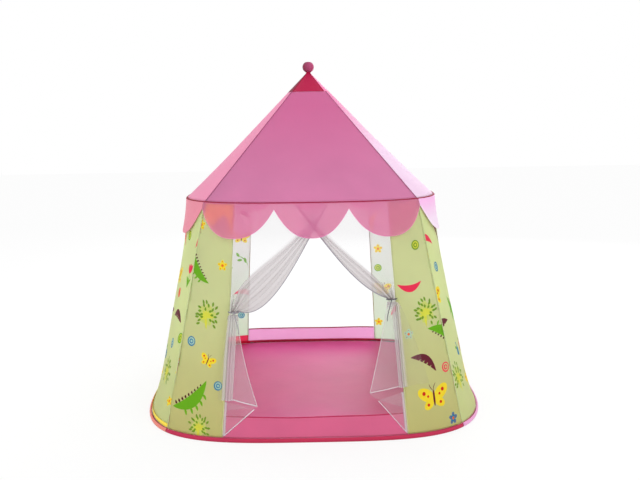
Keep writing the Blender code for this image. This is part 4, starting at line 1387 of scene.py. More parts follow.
class TENT_OT_floor(TentOperator, bpy.types.Operator):
    """Lays the floor sheet and sews the sleeves round the floor hoop"""

    bl_idname = "tent.floor"
    bl_label = "Floor and hoop sleeves"

    def make(self, form, colours):
        self.floor(form, colours)
        corner = form.squircle(form.floor_half, form.floor_power, 1)
        ferrule = 0.5 * math.pi + math.atan((corner - FLOOR_FERRULE_FROM_CORNER) / form.floor_half)
        # Painted light: the left and right sleeves are the crimson cloth painted paler.
        tints = {
            "front": ("crimson sleeve", colours.sleeve_front, "sleeve_crimson"),
            "right": ("pale pink sleeve", colours.sleeve_right_lit, "sleeve_pale_pink"),
            "back": ("crimson sleeve", colours.sleeve_front, "sleeve_crimson"),
            "left": ("salmon sleeve", colours.sleeve_left_lit, "sleeve_salmon"),
        }
        for side, middle in SIDES.items():
            start, end = middle - QUARTER + SLEEVE_END_GAP, middle + QUARTER - SLEEVE_END_GAP
            if side == "back":
                end = ferrule - FLOOR_FERRULE_OPENING / form.floor_half
            self.sleeve(form, side, start, end, *tints[side])

    def floor(self, form, colours):
        half = form.floor_half - FLOOR_INSET

        def place(across, up):
            x, y = 2 * across - 1, 2 * up - 1
            big = np.maximum(np.maximum(np.abs(x), np.abs(y)), 1e-9)
            turn = np.minimum(np.abs(x), np.abs(y)) / big
            out = form.squircle(half, form.floor_power, turn)
            held = ease((1 - big) / 0.06)
            puckers = 0.5 + 0.5 * waves(x, y, 5, 1.0, 12, 1.5, 5.0)
            return stack(out * x, out * y, FLOOR_LIFT + FLOOR_PUCKER * puckers * held)

        piece = lay("floor_cloth", 120, 120, place, rectangle(2 * half, 2 * half))
        thicken(piece, form.cloth)
        look = taffeta("coated floor cloth", colours.floor, 0.44, 0.0, 0.0005)
        dress(piece, look, nodes=["floor_sheet"])
        declare(piece)

    def sleeve(self, form, side, start, end, name, tint, slot):
        count = 200
        angles = np.linspace(start, end, count + 1)
        path = form.hoop(form.floor_half, form.floor_power, angles, 0.0)
        along = running_length(path)
        outward = np.stack([np.cos(angles), np.sin(angles)], axis=1)

        def place(across, up):
            index = np.rint(across * count).astype(int)
            angle = math.tau * up
            above = np.clip(np.sin(angle), 0, 1)
            thin = SLEEVE_HALF_THICK * np.cos(angle) * (1 - 0.5 * above**2)
            pucker = SLEEVE_PUCKER * above * np.sin(along[index] * math.tau / SLEEVE_PUCKER_PITCH)
            base = path[index].copy()
            base[:, :2] += outward[index] * (thin + pucker)[:, None]
            base[:, 2] = SLEEVE_MIDDLE + SLEEVE_HALF_TALL * np.sin(angle)
            return base

        piece = lay(f"{side}_sleeve_cloth", count, 18, place, rectangle(along[-1], SLEEVE_FLAT))
        edit(piece, weld, face_out)
        thicken(piece, form.cloth)
        look = taffeta(name, tint, 0.55, 0.3, 0.0008)
        dress(piece, look, nodes=[f"{side}_hoop_sleeve"])
        declare(piece)


class TENT_OT_walls(TentOperator, bpy.types.Operator):
    """Hangs the printed side walls and the strips beside the doorways"""

    bl_idname = "tent.walls"
    bl_label = "Printed walls"

    def make(self, form, colours):
        printed = printed_cloth("printed wall cloth", colours.wall, colours.wall_foot)
        # Painted light: the side walls are the wall cloth painted paler, and the back walls paler
        # still with daylight behind them.
        paler = printed_cloth("side wall cloth", colours.side_wall, colours.side_foot_shade)
        thin = printed_cloth("back wall cloth", colours.back_wall, colours.back_foot_shade, 0.66)
        edges = [corner_edge(-1), corner_edge(1)]
        for side in ("left", "right"):
            self.wall(form, side, f"{side}_wall", edges, scattered(side), paler)
        maker = random.Random(STRIP_SEED)
        for side, hand in STRIP_PRINTS:
            facing, shapes = strip_print(maker, side, hand)
            edges = [jamb_edge(form, facing), corner_edge(facing)][::facing]
            cloth = thin if side == "back" else printed
            self.wall(form, side, f"{side}_{hand}_panel", edges, shapes, cloth)
        self.seams(form, colours)
        self.tapes(form, colours)

    def wall(self, form, side, node, edges, shapes, cloth):
        name = node.replace("panel", "strip") + "_cloth"
        piece = wall_piece(form, name, side, *edges, shapes)
        dress(piece, cloth, nodes=[node])
        declare(piece)

    def seams(self, form, colours):
        look = tape("wall seam tape", colours.wall_seam)
        heights = np.linspace(0.016, form.eave_height - 0.008, 60)
        for corner, turn in CORNER_TURNS.items():
            angle = turn * math.pi
            out = form.wall_out(1.0, heights) * math.sqrt(2) + WALL_SEAM_PROUD
            path = stack(out * math.cos(angle), out * math.sin(angle), heights)
            across = (-math.sin(angle), math.cos(angle), 0)
            dress(band(f"{corner}_wall_seam", path, across, *WALL_SEAM), look)
        look = tape("jamb tape", colours.jamb)
        turn = form.turn_at(form.jamb(heights) + JAMB_TAPE_FROM_EDGE, heights)
        for side in ("front", "back"):
            for hand, facing in HANDS.items():
                path = form.wall(side, facing * turn, heights, TAPE_PROUD)
                piece = band(f"{side}_{hand}_jamb_tape", path, (1, 0, 0), *JAMB_TAPE)
                dress(piece, look)

    def tapes(self, form, colours):
        """The bright tape inside the left sleeve, and the crimson flap in the back left corner."""
        upright = (0, 0, 1)
        path = form.wall("left", np.linspace(-0.999, 0.999, 160), FOOT_TAPE_HEIGHT, 0.0010)
        piece = band("left_foot_tape", path, upright, *FOOT_TAPE)
        dress(piece, tape("yellow foot tape", colours.foot_tape))
        turns = np.linspace(0.50, 0.999, 80)
        path = form.wall("back", turns, CORNER_FLAP_HEIGHT, -CORNER_FLAP_INSIDE)
        piece = band("back_corner_flap", path, upright, *CORNER_FLAP)
        dress(piece, tape("crimson corner flap", PRINT["crimson"][:3]))


class TENT_OT_sills(TentOperator, bpy.types.Operator):
    """Sews the low sills across the doorways, with their tape"""

    bl_idname = "tent.sills"
    bl_label = "Sills"

    def make(self, form, colours):
        # Painted light: the back sill is painted paler than the front one.
        for side, tint in (("front", colours.sill), ("back", colours.sill_back_lit)):
            def place(across, up, side=side):
                height = lerp(WALL_FOOT, form.sill_height, up)
                edge = form.turn_at(form.jamb(height) - SEAM_GAP, height)
                middle = np.sin(math.pi * across)
                slack = SILL_SAG * up**2 * middle**2
                height = height - slack * (0.4 + 0.6 * np.sin(5 * across) ** 2)
                proud = waves(across, up * 0.2, 9, SILL_SLACK, 6, 1.5, 5.0) * middle
                proud = proud * np.minimum(1, 3 * up)
                return form.wall(side, lerp(-edge, edge, across), height, proud)

            piece = lay(f"{side}_sill_cloth", 120, 16, place, rectangle(*SILL_FLAT))
            thicken(piece, form.cloth)
            look = taffeta(f"{side} sill cloth", tint, through=0.66 if side == "back" else 0.4)
            dress(piece, look, nodes=[f"{side}_sill"])
            across = np.linspace(0.002, 0.998, 120)
            path = place(across, np.ones(120)) + (0, 0, -0.0015)
            edge = band(f"{side}_sill_tape", path, (0, 0, 1), *SILL_TAPE, 10)
            dress(edge, tape("sill tape", colours.sill_tape))
            declare(piece, [edge])


class TENT_OT_eave(TentOperator, bpy.types.Operator):
    """Folds the dark binding round the eave hoop"""

    bl_idname = "tent.eave"
    bl_label = "Eave binding"

    def make(self, form, colours):
        gap = EAVE_FERRULE_OPENING / form.eave_half
        angles = np.linspace(0.5 * math.pi + gap, 2.5 * math.pi - gap, 640)
        path = form.hoop(form.eave_half, form.eave_power, angles, form.eave_height)

        def pucker(along, angle):
            return 1 + 0.05 * np.sin(along * math.tau / BINDING_PUCKER_PITCH) * np.sin(angle)

        size = (BINDING_HALF, BINDING_HALF, 14)
        piece = band("eave_binding_tape", path, (0, 0, 1), *size, pucker=pucker)
        look = tape("eave binding tape", colours.piping)
        dress(piece, look, nodes=["eave_binding"])


class TENT_OT_roof(TentOperator, bpy.types.Operator):
    """Lays the four roof panels and the tape over their seams"""

    bl_idname = "tent.roof"
    bl_label = "Roof"

    def make(self, form, colours):
        slope = math.hypot(form.eave_half, form.peak_height - form.eave_height)
        bottom = ROOF_EDGE_UP / slope
        top = form.climb_at(form.peak_height - form.cap_drop - CAP_OVER_ROOF)
        # Painted shade: the rose roof is painted deeper towards the cap.
        rose = (colours.roof_shade_near_cap, 0.90, 1.20)
        # Painted light: the left and right roof are the rose cloth painted paler; the right one is
        # less pale towards the cap.
        pink = (colours.cap_right_lit, 1.02, 1.28)
        tints = {
            "front": ("rose roof cloth", colours.roof_front, "roof_rose", rose),
            "back": ("rose roof cloth", colours.roof_front, "roof_rose", rose),
            "left": ("salmon roof cloth", colours.roof_left_lit, "roof_salmon", None),
            "right": ("pale pink roof cloth", colours.roof_right_lit, "roof_pale_pink", pink),
        }
        for side, (name, tint, slot, above) in tints.items():
            def place(across, up, side=side):
                climb = lerp(bottom, top, up)
                edge = 1 - SEAM_GAP / np.maximum(form.eave_corner * (1 - climb), 0.001)
                turn = np.tan(lerp(-1, 1, across) * np.arctan(edge))
                held = np.sin(math.pi * across) * np.sin(math.pi * np.clip(up, 0.02, 0.98))
                drawn = waves(across, up * 0.6, len(side) * 7, ROOF_SLACK, 8, 1.0, 4.0)
                return form.roof(side, turn, climb, drawn * held)

            def pattern(across, up):
                half = ROOF_FLAT_SHARE * form.eave_half * (1 - lerp(bottom, top, up))
                return np.stack([(2 * across - 1) * half, up * (top - bottom) * slope], axis=-1)

            piece = lay(f"{side}_roof_cloth", 96, 64, place, pattern)
            thicken(piece, form.cloth)
            dress(piece, taffeta(name, tint, above=above), nodes=[f"{side}_roof_panel"])
            declare(piece)
        self.seams(form, colours, np.linspace(bottom, top, 50))

    def seams(self, form, colours, climbs):
        look = tape("roof seam tape", colours.roof_seam)
        out = form.eave_corner * math.sqrt(2) * (1 - climbs) + TAPE_PROUD
        height = form.roof_height(climbs) + TAPE_PROUD
        for name, turn in CORNER_TURNS.items():
            angle = turn * math.pi
            path = stack(out * math.cos(angle), out * math.sin(angle), height)
            across = (-math.sin(angle), math.cos(angle), 0)
            dress(band(f"{name}_roof_seam", path, across, *ROOF_SEAM), look)


class TENT_OT_cap(TentOperator, bpy.types.Operator):
    """Sets the crimson cap over the hub and the stuffed ball on top of it"""

    bl_idname = "tent.cap"
    bl_label = "Cap and finial"

    def make(self, form, colours):
        neck = 1 - CAP_NECK / form.eave_half
        bottom = form.climb_at(form.peak_height - form.cap_drop)

        def place(across, up):
            angle = math.tau * across
            climb = lerp(bottom, neck, up)
            rest = from_side_middle(angle)
            reach = form.roof_out(np.tan(rest), climb) * (1 - climb) / np.cos(rest)
            reach = reach + 0.0008 * np.sin(angle * 14) * ease((up - 0.75) / 0.25)
            return stack(reach * np.cos(angle), reach * np.sin(angle), form.roof_height(climb))

        piece = lay("cap_cloth", 160, 40, place, rectangle(*CAP_FLAT))
        edit(piece, weld)
        thicken(piece, form.cloth)
        look = taffeta("crimson cap cloth", colours.cap, 0.5, 0.15)
        self.gores(piece, look, colours)
        dress(piece, look, nodes=["roof_cap"])
        declare(piece, [self.collar(colours)])
        look = tape("cap seam tape", colours.piping)
        up = np.linspace(0.03, 0.97, 30)
        for name, turn in CORNER_TURNS.items():
            turn += CAP_SEAM_SHIFT[name]
            path = place(np.full(30, turn / 2) % 1, up) * (1.004, 1.004, 1) + (0, 0, 0.0006)
            across = (-math.sin(turn * math.pi), math.cos(turn * math.pi), 0)
            dress(band(f"{name}_cap_seam", path, across, *CAP_SEAM), look)
        self.ball(form, colours)

    def gores(self, piece, look, colours):
        """Paints shade on the cap's left gore and light on its right gore, which are narrower than
        the other two.
        """
        names = ("cap_left_shade", "cap_right_lit", "cap")
        left, right, middle = ((*getattr(colours, name), 1) for name in names)
        tints = []
        for face in piece.data.polygons:
            x, y, _ = face.center
            tint = right if x > 0.86 * abs(y) else left if -x > 0.93 * abs(y) else middle
            tints += [tint] * face.loop_total
        sewn = piece.data.color_attributes.new("gores", "FLOAT_COLOR", "CORNER")
        sewn.data.foreach_set("color", np.array(tints).reshape(-1))
        nodes = Nodes(look.node_tree)
        sides = nodes.add("VertexColor", layer_name="gores").outputs["Color"]
        for node in nodes.tree.nodes:
            if node.type in ("BSDF_PRINCIPLED", "GAMMA"):
                nodes.set(node, {0: sides})

    def collar(self, colours):
        """The gathered neck that joins the ball to the cap."""
        foot, cap_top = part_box("finial_ball")[0][2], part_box("roof_cap")[1][2]
        reaches = (0.0110, 0.0085, 0.0085, 0.0125)
        heights = (cap_top - 0.0035, cap_top + 0.0002, foot + 0.0008, foot + 0.0030)
        steps = range(len(reaches))

        def place(across, up):
            angle = math.tau * across
            at = up * steps[-1]
            out = np.interp(at, steps, reaches) * (1 + 0.05 * np.sin(16 * angle))
            return stack(out * np.cos(angle), out * np.sin(angle), np.interp(at, steps, heights))

        piece = lay("finial_collar", 96, 12, place, rectangle(*COLLAR_FLAT))
        edit(piece, weld)
        return dress(piece, tape("finial collar", colours.cap))

    def ball(self, form, colours):
        middle = np.array(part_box("finial_ball")).mean(axis=0)
        piece, seams = self.stuffed_ball()
        points = points_of(piece.data)
        reach = np.linalg.norm(points, axis=1)
        angle = np.arctan2(points[:, 1], points[:, 0])
        low_down = ease((-points[:, 2] / reach - 0.45) / 0.5)
        gathers = 0.05 * low_down * np.abs(np.sin(10 * angle)) * (1 - low_down * 0.5)
        size = form.ball_radius / reach.max()
        move_points(piece.data, points * size * (1 - gathers)[:, None] + middle)
        look = taffeta("finial cloth", colours.ball, 0.55, 0.0, 0.0005)
        self.fade(look, colours)
        dress(piece, look, nodes=["finial_ball"])
        look = tape("cap seam tape", colours.piping)
        tilt = np.linspace(-0.46 * math.pi, 0.10 * math.pi, 60)
        reach = np.interp(tilt, *seams) * size + 0.0001
        out, up = reach * np.cos(tilt), reach * np.sin(tilt)
        for name, turn in CORNER_TURNS.items():
            c, s = math.cos(turn * math.pi), math.sin(turn * math.pi)
            path = middle + stack(out * c, out * s, up)
            dress(band(f"{name}_finial_seam", path, (-s, c, 0), *BALL_SEAM), look)

    def fade(self, look, colours):
        """Painted shade and light: the ball's cloth is darker on its left and paler on its right.
        """
        nodes = Nodes(look.node_tree)
        place = nodes.add("TexCoord").outputs["Object"]
        east = nodes.add("SeparateXYZ", {0: place}).outputs["X"]
        share = nodes.add("MapRange", {0: east, 1: -0.018, 2: 0.020}).outputs[0]
        tone = nodes.blend(share, (*colours.ball_shade_left, 1), (*colours.ball_lit_right, 1))
        nodes.set(nodes.tree.nodes["Principled BSDF"], {"Base Color": tone})

    def stuffed_ball(self):
        """Four gores sewn together and blown up by the cloth simulation, at a radius near 1 m.

        It returns the ball, and its seams' reach at each tilt."""
        bpy.ops.object.select_all(action="DESELECT")
        bpy.ops.mesh.primitive_uv_sphere_add(
            segments=BALL_SEGMENTS, ring_count=BALL_RINGS, radius=1
        )
        piece = bpy.context.active_object
        piece.name = "finial_cloth"
        points = points_of(piece.data)
        gore = math.pi / 2
        around = np.arctan2(points[:, 1], points[:, 0]) / gore
        flat_out = np.sqrt(np.maximum(1 - points[:, 2] ** 2, 0))
        on_seam = np.abs(around % 1 - 0.5) * gore * flat_out < BALL_SEAM_REACH
        sewn = on_seam | (np.abs(points[:, 2]) > BALL_ENDS_FROM)
        move_points(piece.data, points * np.where(sewn, BALL_DRAWN_IN, 1.0)[:, None])
        pins = piece.vertex_groups.new(name="seams")
        pins.add([int(i) for i in np.nonzero(sewn)[0]], 1.0, "REPLACE")
        cloth = piece.modifiers.new("filling", "CLOTH")
        chosen = {
            "quality": 6,
            "mass": 0.3,
            "tension_stiffness": 3,
            "compression_stiffness": 3,
            "shear_stiffness": 3,
            "bending_stiffness": 0.1,
            "use_pressure": True,
            "uniform_pressure_force": 11,
            "vertex_group_mass": pins.name,
        }
        for name, value in chosen.items():
            setattr(cloth.settings, name, value)
        cloth.settings.effector_weights.gravity = 0
        cloth.collision_settings.use_collision = False
        cloth.point_cache.frame_start = 1
        cloth.point_cache.frame_end = BALL_FRAMES
        for moment in range(1, BALL_FRAMES + 1):
            bpy.context.scene.frame_set(moment)
        only(piece)
        bpy.ops.object.modifier_apply(modifier=cloth.name)
        bpy.context.scene.frame_set(1)
        piece.vertex_groups.clear()
        seam = points_of(piece.data)[on_seam]
        reach = np.linalg.norm(seam, axis=1)
        tilt = np.arcsin(seam[:, 2] / reach)
        order = np.argsort(tilt)
        return piece, (tilt[order], reach[order])


class TENT_OT_valances(TentOperator, bpy.types.Operator):
    """Hangs a scalloped valance with a narrow hem from each side of the eave"""

    bl_idname = "tent.valances"
    bl_label = "Scalloped valances"

    def make(self, form, colours):
        # Painted light: the left and right valances, and so their hems, are painted paler than the
        # rose cloth.
        tints = {
            "front": ("rose valance cloth", colours.valance_front, "roof_rose"),
            "back": ("rose valance cloth", colours.valance_front, "roof_rose"),
            "left": ("salmon valance cloth", colours.valance_left_lit, "roof_salmon"),
            "right": ("pale pink valance cloth", colours.valance_right_lit, "roof_pale_pink"),
        }
        for side, (name, tint, slot) in tints.items():
            def place(across, down, side=side):
                lobe, cut = form.scallop(across)
                drop = down * cut
                share = drop / form.valance_drop
                slack = waves(across, share * 0.12, len(side) * 3, VALANCE_SLACK, 6, 2, 7)
                ripple = VALANCE_RIPPLE * share * np.cos(math.pi * lobe) + slack * share
                proud = VALANCE_PROUD + VALANCE_FLARE * share + ripple
                proud = np.maximum(proud, VALANCE_LEAST_PROUD)
                height = form.eave_height - drop
                edge = 1 - SEAM_GAP / form.wall_out(1.0, height)
                turn = np.tan(lerp(-1, 1, across) * np.arctan(edge))
                return form.wall(side, turn, height, proud)

            def pattern(across, down):
                _, cut = form.scallop(across)
                return np.stack([across * VALANCE_FLAT_WIDTH, -down * cut], axis=-1)

            columns = 96 * form.scallops
            piece = lay(f"{side}_valance_cloth", columns, 24, place, pattern)
            thicken(piece, form.cloth)
            through, sheer = (0.45, 0.40) if side in ("front", "back") else (0.12, 0.90)
            # Painted light: the right valance is painted less pale towards the eave.
            higher = (colours.valance_right_less_lit_eave, 0.745, 0.815) if side == "right" else None
            look = taffeta(name, tint, through=through, above=higher, alpha=sheer)
            dress(piece, look, nodes=[f"{side}_valance"])
            across = np.linspace(0.0, 1.0, columns + 1)
            path = place(across, np.full(len(across), 0.992))
            hem = band(f"{side}_valance_hem", path, path * (1, 1, 0), *VALANCE_HEM, 6)
            dress(hem, tape(f"{side} valance hem", scaled_tint(tint, 1.12)))
            declare(piece, [hem])


def bunched(hand, across, down):
    """Where each strand hangs: a smooth sheet, then pleats packed along the free edge."""
    smooth = np.maximum(1 - BAND_WIDTH[hand] * down ** BAND_POWER[hand], BAND_LEAST_REST[hand])
    packed = ease(down / 0.12)
    smooth = lerp(BAND_CLOTH_FROM, smooth, packed)
    in_band = np.clip((across - BAND_CLOTH_FROM) / (1 - BAND_CLOTH_FROM), 0, 1)
    turn = math.tau * BAND_PLEATS[hand] * in_band
    over = -0.75 * packed * np.sin(2 * turn) / (math.tau * BAND_PLEATS[hand])
    over = over * np.sin(math.pi * in_band) ** 0.5
    along = np.where(
        across < BAND_CLOTH_FROM,
        across / BAND_CLOTH_FROM * smooth,
        smooth + (in_band + over) * (1 - smooth),
    )
    edge = ease(in_band / 0.12) * ease((1 - in_band) / 0.08)
    deep = BAND_PLEAT_DEPTH[hand] * packed * edge * np.sin(turn)
    return along, deep * (1 - 0.35 * down)


def curtain_shape(form, hand, across, fall):
    """The upper curtain: across runs from its jamb to its free edge, fall from eave to tie."""
    behind = 0 if hand == "left" else 1
    down = np.minimum(fall / ABOVE_TIE_SHARE, 1)
    rest = 1 - down
    along, pleat = bunched(hand, across, down)
    sideways = lerp(form.jamb(form.wall_top) - 2 * SEAM_GAP, -CURTAIN_OVERLAP, along)
    out = form.front_out(np.abs(sideways), form.wall_top)
    top = stack(HANDS[hand] * sideways, -out, form.wall_top)
    centre = form.gather(hand) + np.array((0, 0, CURTAIN_END))
    foot = centre + stack(HANDS[hand] * GATHER_HALF_WIDTH * (1 - 2 * along), 0, 0)
    run = foot - top
    first = top + run / 3
    second = top + run * 2 / 3
    first[:, 2] -= SWAG_DEPTH * SWAG_SAGS[hand][0] * along**2
    second[:, 2] -= SWAG_DEPTH * SWAG_SAGS[hand][1] * along**2
    shares = (rest**3, 3 * rest**2 * down, 3 * rest * down**2, down**3)
    point = sum(p * share[:, None] for p, share in zip((top, first, second, foot), shares))
    high = form.eave_height - GATHER_HEIGHT[hand]
    hung = ease((form.eave_height - point[:, 2]) / high)
    cloth_out = form.front_out(np.abs(point[:, 0]), point[:, 2])
    point[:, 1] = lerp(-cloth_out, point[:, 1], hung)
    lap = lerp(CURTAIN_LAP, CURTAIN_LAP_FULL, ease(down / LAP_FULL_SHARE))
    point[:, 1] += behind * lap * (1 - ease(down))
    round_off = np.sqrt(np.maximum(1 - (2 * across - 1) ** 2, 0))
    spread = lerp(ease(2 * across), round_off, ease(down))
    deep = lerp(SWAG_FOLD_DEPTH, GATHER_HALF_DEPTH, ease(down)) * ease(down / FOLD_FULL_SHARE)
    smooth = ease((down - 0.55) / 0.4)
    fold = np.sin(math.tau * SWAG_FOLDS * across) * lerp(0.25, 1.0, smooth) - rest
    point[:, 1] -= deep * spread * fold + pleat
    gathers = GATHER_PLEAT_DEPTH * smooth * round_off * np.sin(math.tau * GATHER_PLEATS * across)
    point[:, 1] -= gathers
    past_tie = np.maximum(fall - ABOVE_TIE_SHARE, 0) / (1 - ABOVE_TIE_SHARE)
    point[:, 2] -= 2 * CURTAIN_END * past_tie
    return point


def curtain_bunch(across, fall):
    """How tightly the upper curtain is gathered: in the band along its free edge."""
    down = np.minimum(fall / ABOVE_TIE_SHARE, 1)
    in_band = ease((across - BAND_CLOTH_FROM + 0.03) / 0.05)
    at_tie = (1 - in_band) * ease((down - 0.8) / 0.2)
    return in_band * ease(down / 0.25) * (0.75 + 0.25 * down) + at_tie


def skirt_bunch(across, down):
    """How tightly the skirt is gathered: in a column along the jamb, and under the tie.

    It is below nothing where the mesh is drawn out over the wall, and shows least."""
    share = (across - SKIRT_BACK_SHARE) / (1 - SKIRT_BACK_SHARE)
    front = across > SKIRT_BACK_SHARE
    near = ease((share - COLUMN_FROM + 0.02) / 0.04) * ease((COLUMN_TO + 0.02 - share) / 0.04)
    column = near * front * (0.78 - 0.10 * down)
    spread = -0.13 * ease((share - COLUMN_TO) / 0.05) * front
    return np.maximum(column, 0.8 * ease((0.10 - down) / 0.10)) + spread


def skirt_shape(form, hand, across, down):
    """The skirt below the tie: a back layer out to a fold, then a front layer.

    The front layer is bunched in a column along the jamb, and spreads thinly over the wall
    beside it."""
    inward = lerp(SKIRT_TOP_INTO_DOOR, SKIRT_INTO_DOOR[hand], down ** SKIRT_FLARE_POWER[hand])
    over = lerp(SKIRT_TOP_OVER_WALL, SKIRT_OVER_WALL[hand], down**SKIRT_SPREAD_POWER)
    back = across < SKIRT_BACK_SHARE
    in_front = (across - SKIRT_BACK_SHARE) / (1 - SKIRT_BACK_SHARE)
    share = np.where(back, across / SKIRT_BACK_SHARE, in_front)
    turn = share * math.pi / 2
    to_jamb = np.sin(np.clip(share / COLUMN_FROM, 0, 1) * math.pi / 2)
    hem = np.where(
        back,
        lerp(SKIRT_FOOT, SKIRT_EDGE_HEM[hand], share),
        lerp(SKIRT_EDGE_HEM[hand], SKIRT_FRONT_HEM[hand], to_jamb),
    )
    inside = np.minimum(COLUMN_INSIDE[hand], inward * COLUMN_SHARE[hand])
    outside = np.minimum(COLUMN_OUTSIDE, over * 0.6)
    in_column = np.clip((share - COLUMN_FROM) / (COLUMN_TO - COLUMN_FROM), 0, 1)
    pleat = math.tau * COLUMN_PLEATS * in_column
    middle = np.sin(math.pi * in_column)
    lap = -0.5 * np.sin(2 * pleat) / (math.tau * COLUMN_PLEATS) * middle
    veil = lerp(inward, inside, to_jamb)
    column = lerp(inside, -outside, in_column + lap)
    wall = lerp(-outside, -over, np.clip((share - COLUMN_TO) / (1 - COLUMN_TO), 0, 1))
    front = np.where(share < COLUMN_FROM, veil, np.where(share < COLUMN_TO, column, wall))
    sideways = np.where(back, inward * np.sin(turn), front)
    bunch = COLUMN_PLEAT_DEPTH * np.sin(pleat) * middle
    soft = SKIRT_FOLD_DEPTH * np.sin(math.pi * 5 * share) * np.sin(math.pi * share)
    soft = soft * (0.4 + 0.6 * down)
    ahead = SKIRT_LAYER_GAP * (0.5 + 0.5 * np.sin(turn)) + bunch + soft
    ahead = ahead + SKIRT_FRONT_PROUD * ease(share / 0.25)
    behind = SKIRT_LAYER_GAP / 2 * (1 - np.cos(turn))
    height = lerp(GATHER_HEIGHT[hand] - SKIRT_BELOW_TIE, hem, down)
    seam = form.hinge(hand, height)
    over_wall = ease(-sideways / SKIRT_SETTLE_WIDTH)
    wall_y = -form.front_out(np.abs(seam[:, 0]) - sideways, height) - SKIRT_OFF_WALL
    seam[:, 1] = lerp(seam[:, 1], wall_y, over_wall)
    forward = np.where(back, behind, ahead) * lerp(1, 0.10, over_wall)
    return seam + stack(-HANDS[hand] * sideways, -np.maximum(forward, 0.0), 0)


class TENT_OT_curtains(TentOperator, bpy.types.Operator):
    """Hangs the gathered mesh curtains, their skirts and their bottom corners"""

    bl_idname = "tent.curtains"
    bl_label = "Curtains"

    def make(self, form, colours):
        mesh = voile("white curtain mesh", colours.curtain, colours.curtain_fold_shade, (0.16, 0.86))
        hem_look = voile("white curtain hem", colours.curtain_hem, colours.curtain_hem, (0.62, 1))
        edge_look = tape("grey curtain edge", colours.curtain_edge)
        for hand in HANDS:
            self.upper(form, hand, mesh, edge_look)
            self.skirt(form, hand, mesh, hem_look)
            self.corner(form, hand, mesh, hem_look)

    def upper(self, form, hand, mesh, edge_look):
        def place(across, fall):
            return curtain_shape(form, hand, across, fall)

        flat = rectangle(*CURTAIN_FLAT)
        piece = lay(f"{hand}_curtain_cloth", 220, 110, place, flat, curtain_bunch)
        dress(piece, mesh, nodes=[f"{hand}_curtain"])
        path = place(np.full(90, 0.9995), np.linspace(0.01, 0.95, 90))
        half = EDGE_BINDING_HALF[hand]
        edge = band(f"{hand}_curtain_edge", path, (0, 1, 0), HEM_HALF_THICK, half)
        dress(edge, edge_look)
        declare(piece, [edge], layers=1)

    def skirt(self, form, hand, mesh, hem_look):
        def place(across, down):
            return skirt_shape(form, hand, across, down)

        flat = rectangle(*SKIRT_FLAT)
        piece = lay(f"{hand}_skirt_cloth", 200, 90, place, flat, skirt_bunch)
        path = place(np.linspace(SKIRT_BACK_SHARE, 0.80, 120), np.full(120, 0.994))
        half = SKIRT_HEM_HALF[hand]
        hem = band(f"{hand}_skirt_hem", path, (0, 0, 1), half, HEM_HALF_THICK)
        path = place(np.full(90, SKIRT_BACK_SHARE), np.linspace(0.03, 0.99, 90))
        fold = band(f"{hand}_skirt_fold", path, (1, 0, 0), *SKIRT_FOLD_HEM)
        bodies = ("tent", f"{hand}_curtain_flap")
        heights = (GATHER_HEIGHT[hand] - SKIRT_BELOW_TIE, GATHER_HEIGHT[hand] - 0.14)
        for part, look in ((piece, mesh), (hem, hem_look), (fold, hem_look)):
            self.hang(part, look, bodies, form, hand, heights)
        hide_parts(f"{hand}_curtain_skirt")
        declare(piece, [hem, fold], layers=1)

    def corner(self, form, hand, mesh, hem_look):
        wide = GUSSET_TOP_WIDTH[hand]

        def place(across, up):
            height = lerp(GUSSET_FOOT, lerp(*CORNER_TOPS[hand], across), up)
            inward = lerp(2 * SEAM_GAP, wide, up) * across + 0.001 * across
            slack = 0.0012 * np.sin(math.pi * across) * np.sin(2.5 * math.pi * across) * up
            return form.door_place(hand, inward, CORNER_OFF_SILL + np.abs(slack), height)

        def bunch(across, up):
            from_jamb = lerp(2 * SEAM_GAP, wide, up) * across
            return 0.9 * ease((CORNER_BUNCH_WIDTH - from_jamb) / 0.003)

        flat = rectangle(wide, CORNER_FLAT_HEIGHT)
        piece = lay(f"{hand}_corner_cloth", 90, 30, place, flat, bunch)
        path = place(np.full(40, 0.985), np.linspace(0.02, 0.98, 40))
        half = CORNER_HEM_HALF[hand]
        hem = band(f"{hand}_corner_hem", path, (1, 0, 0), half, HEM_HALF_THICK)
        bodies = (f"{hand}_curtain_flap", "tent")
        for part, look in ((piece, mesh), (hem, hem_look)):
            self.hang(part, look, bodies, form, hand, (GUSSET_TOP, GUSSET_FOOT))
        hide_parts(f"{hand}_curtain_gusset")
        declare(piece, [hem], layers=1)

    def hang(self, part, look, bodies, form, hand, heights):
        """Covers a part with its look and smooth shading, and bakes its place into its mesh."""
        cover(part, look)
        part.data.shade_smooth()
        ends = [tuple(form.hinge(hand, np.array(height))) for height in heights]
        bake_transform(part)


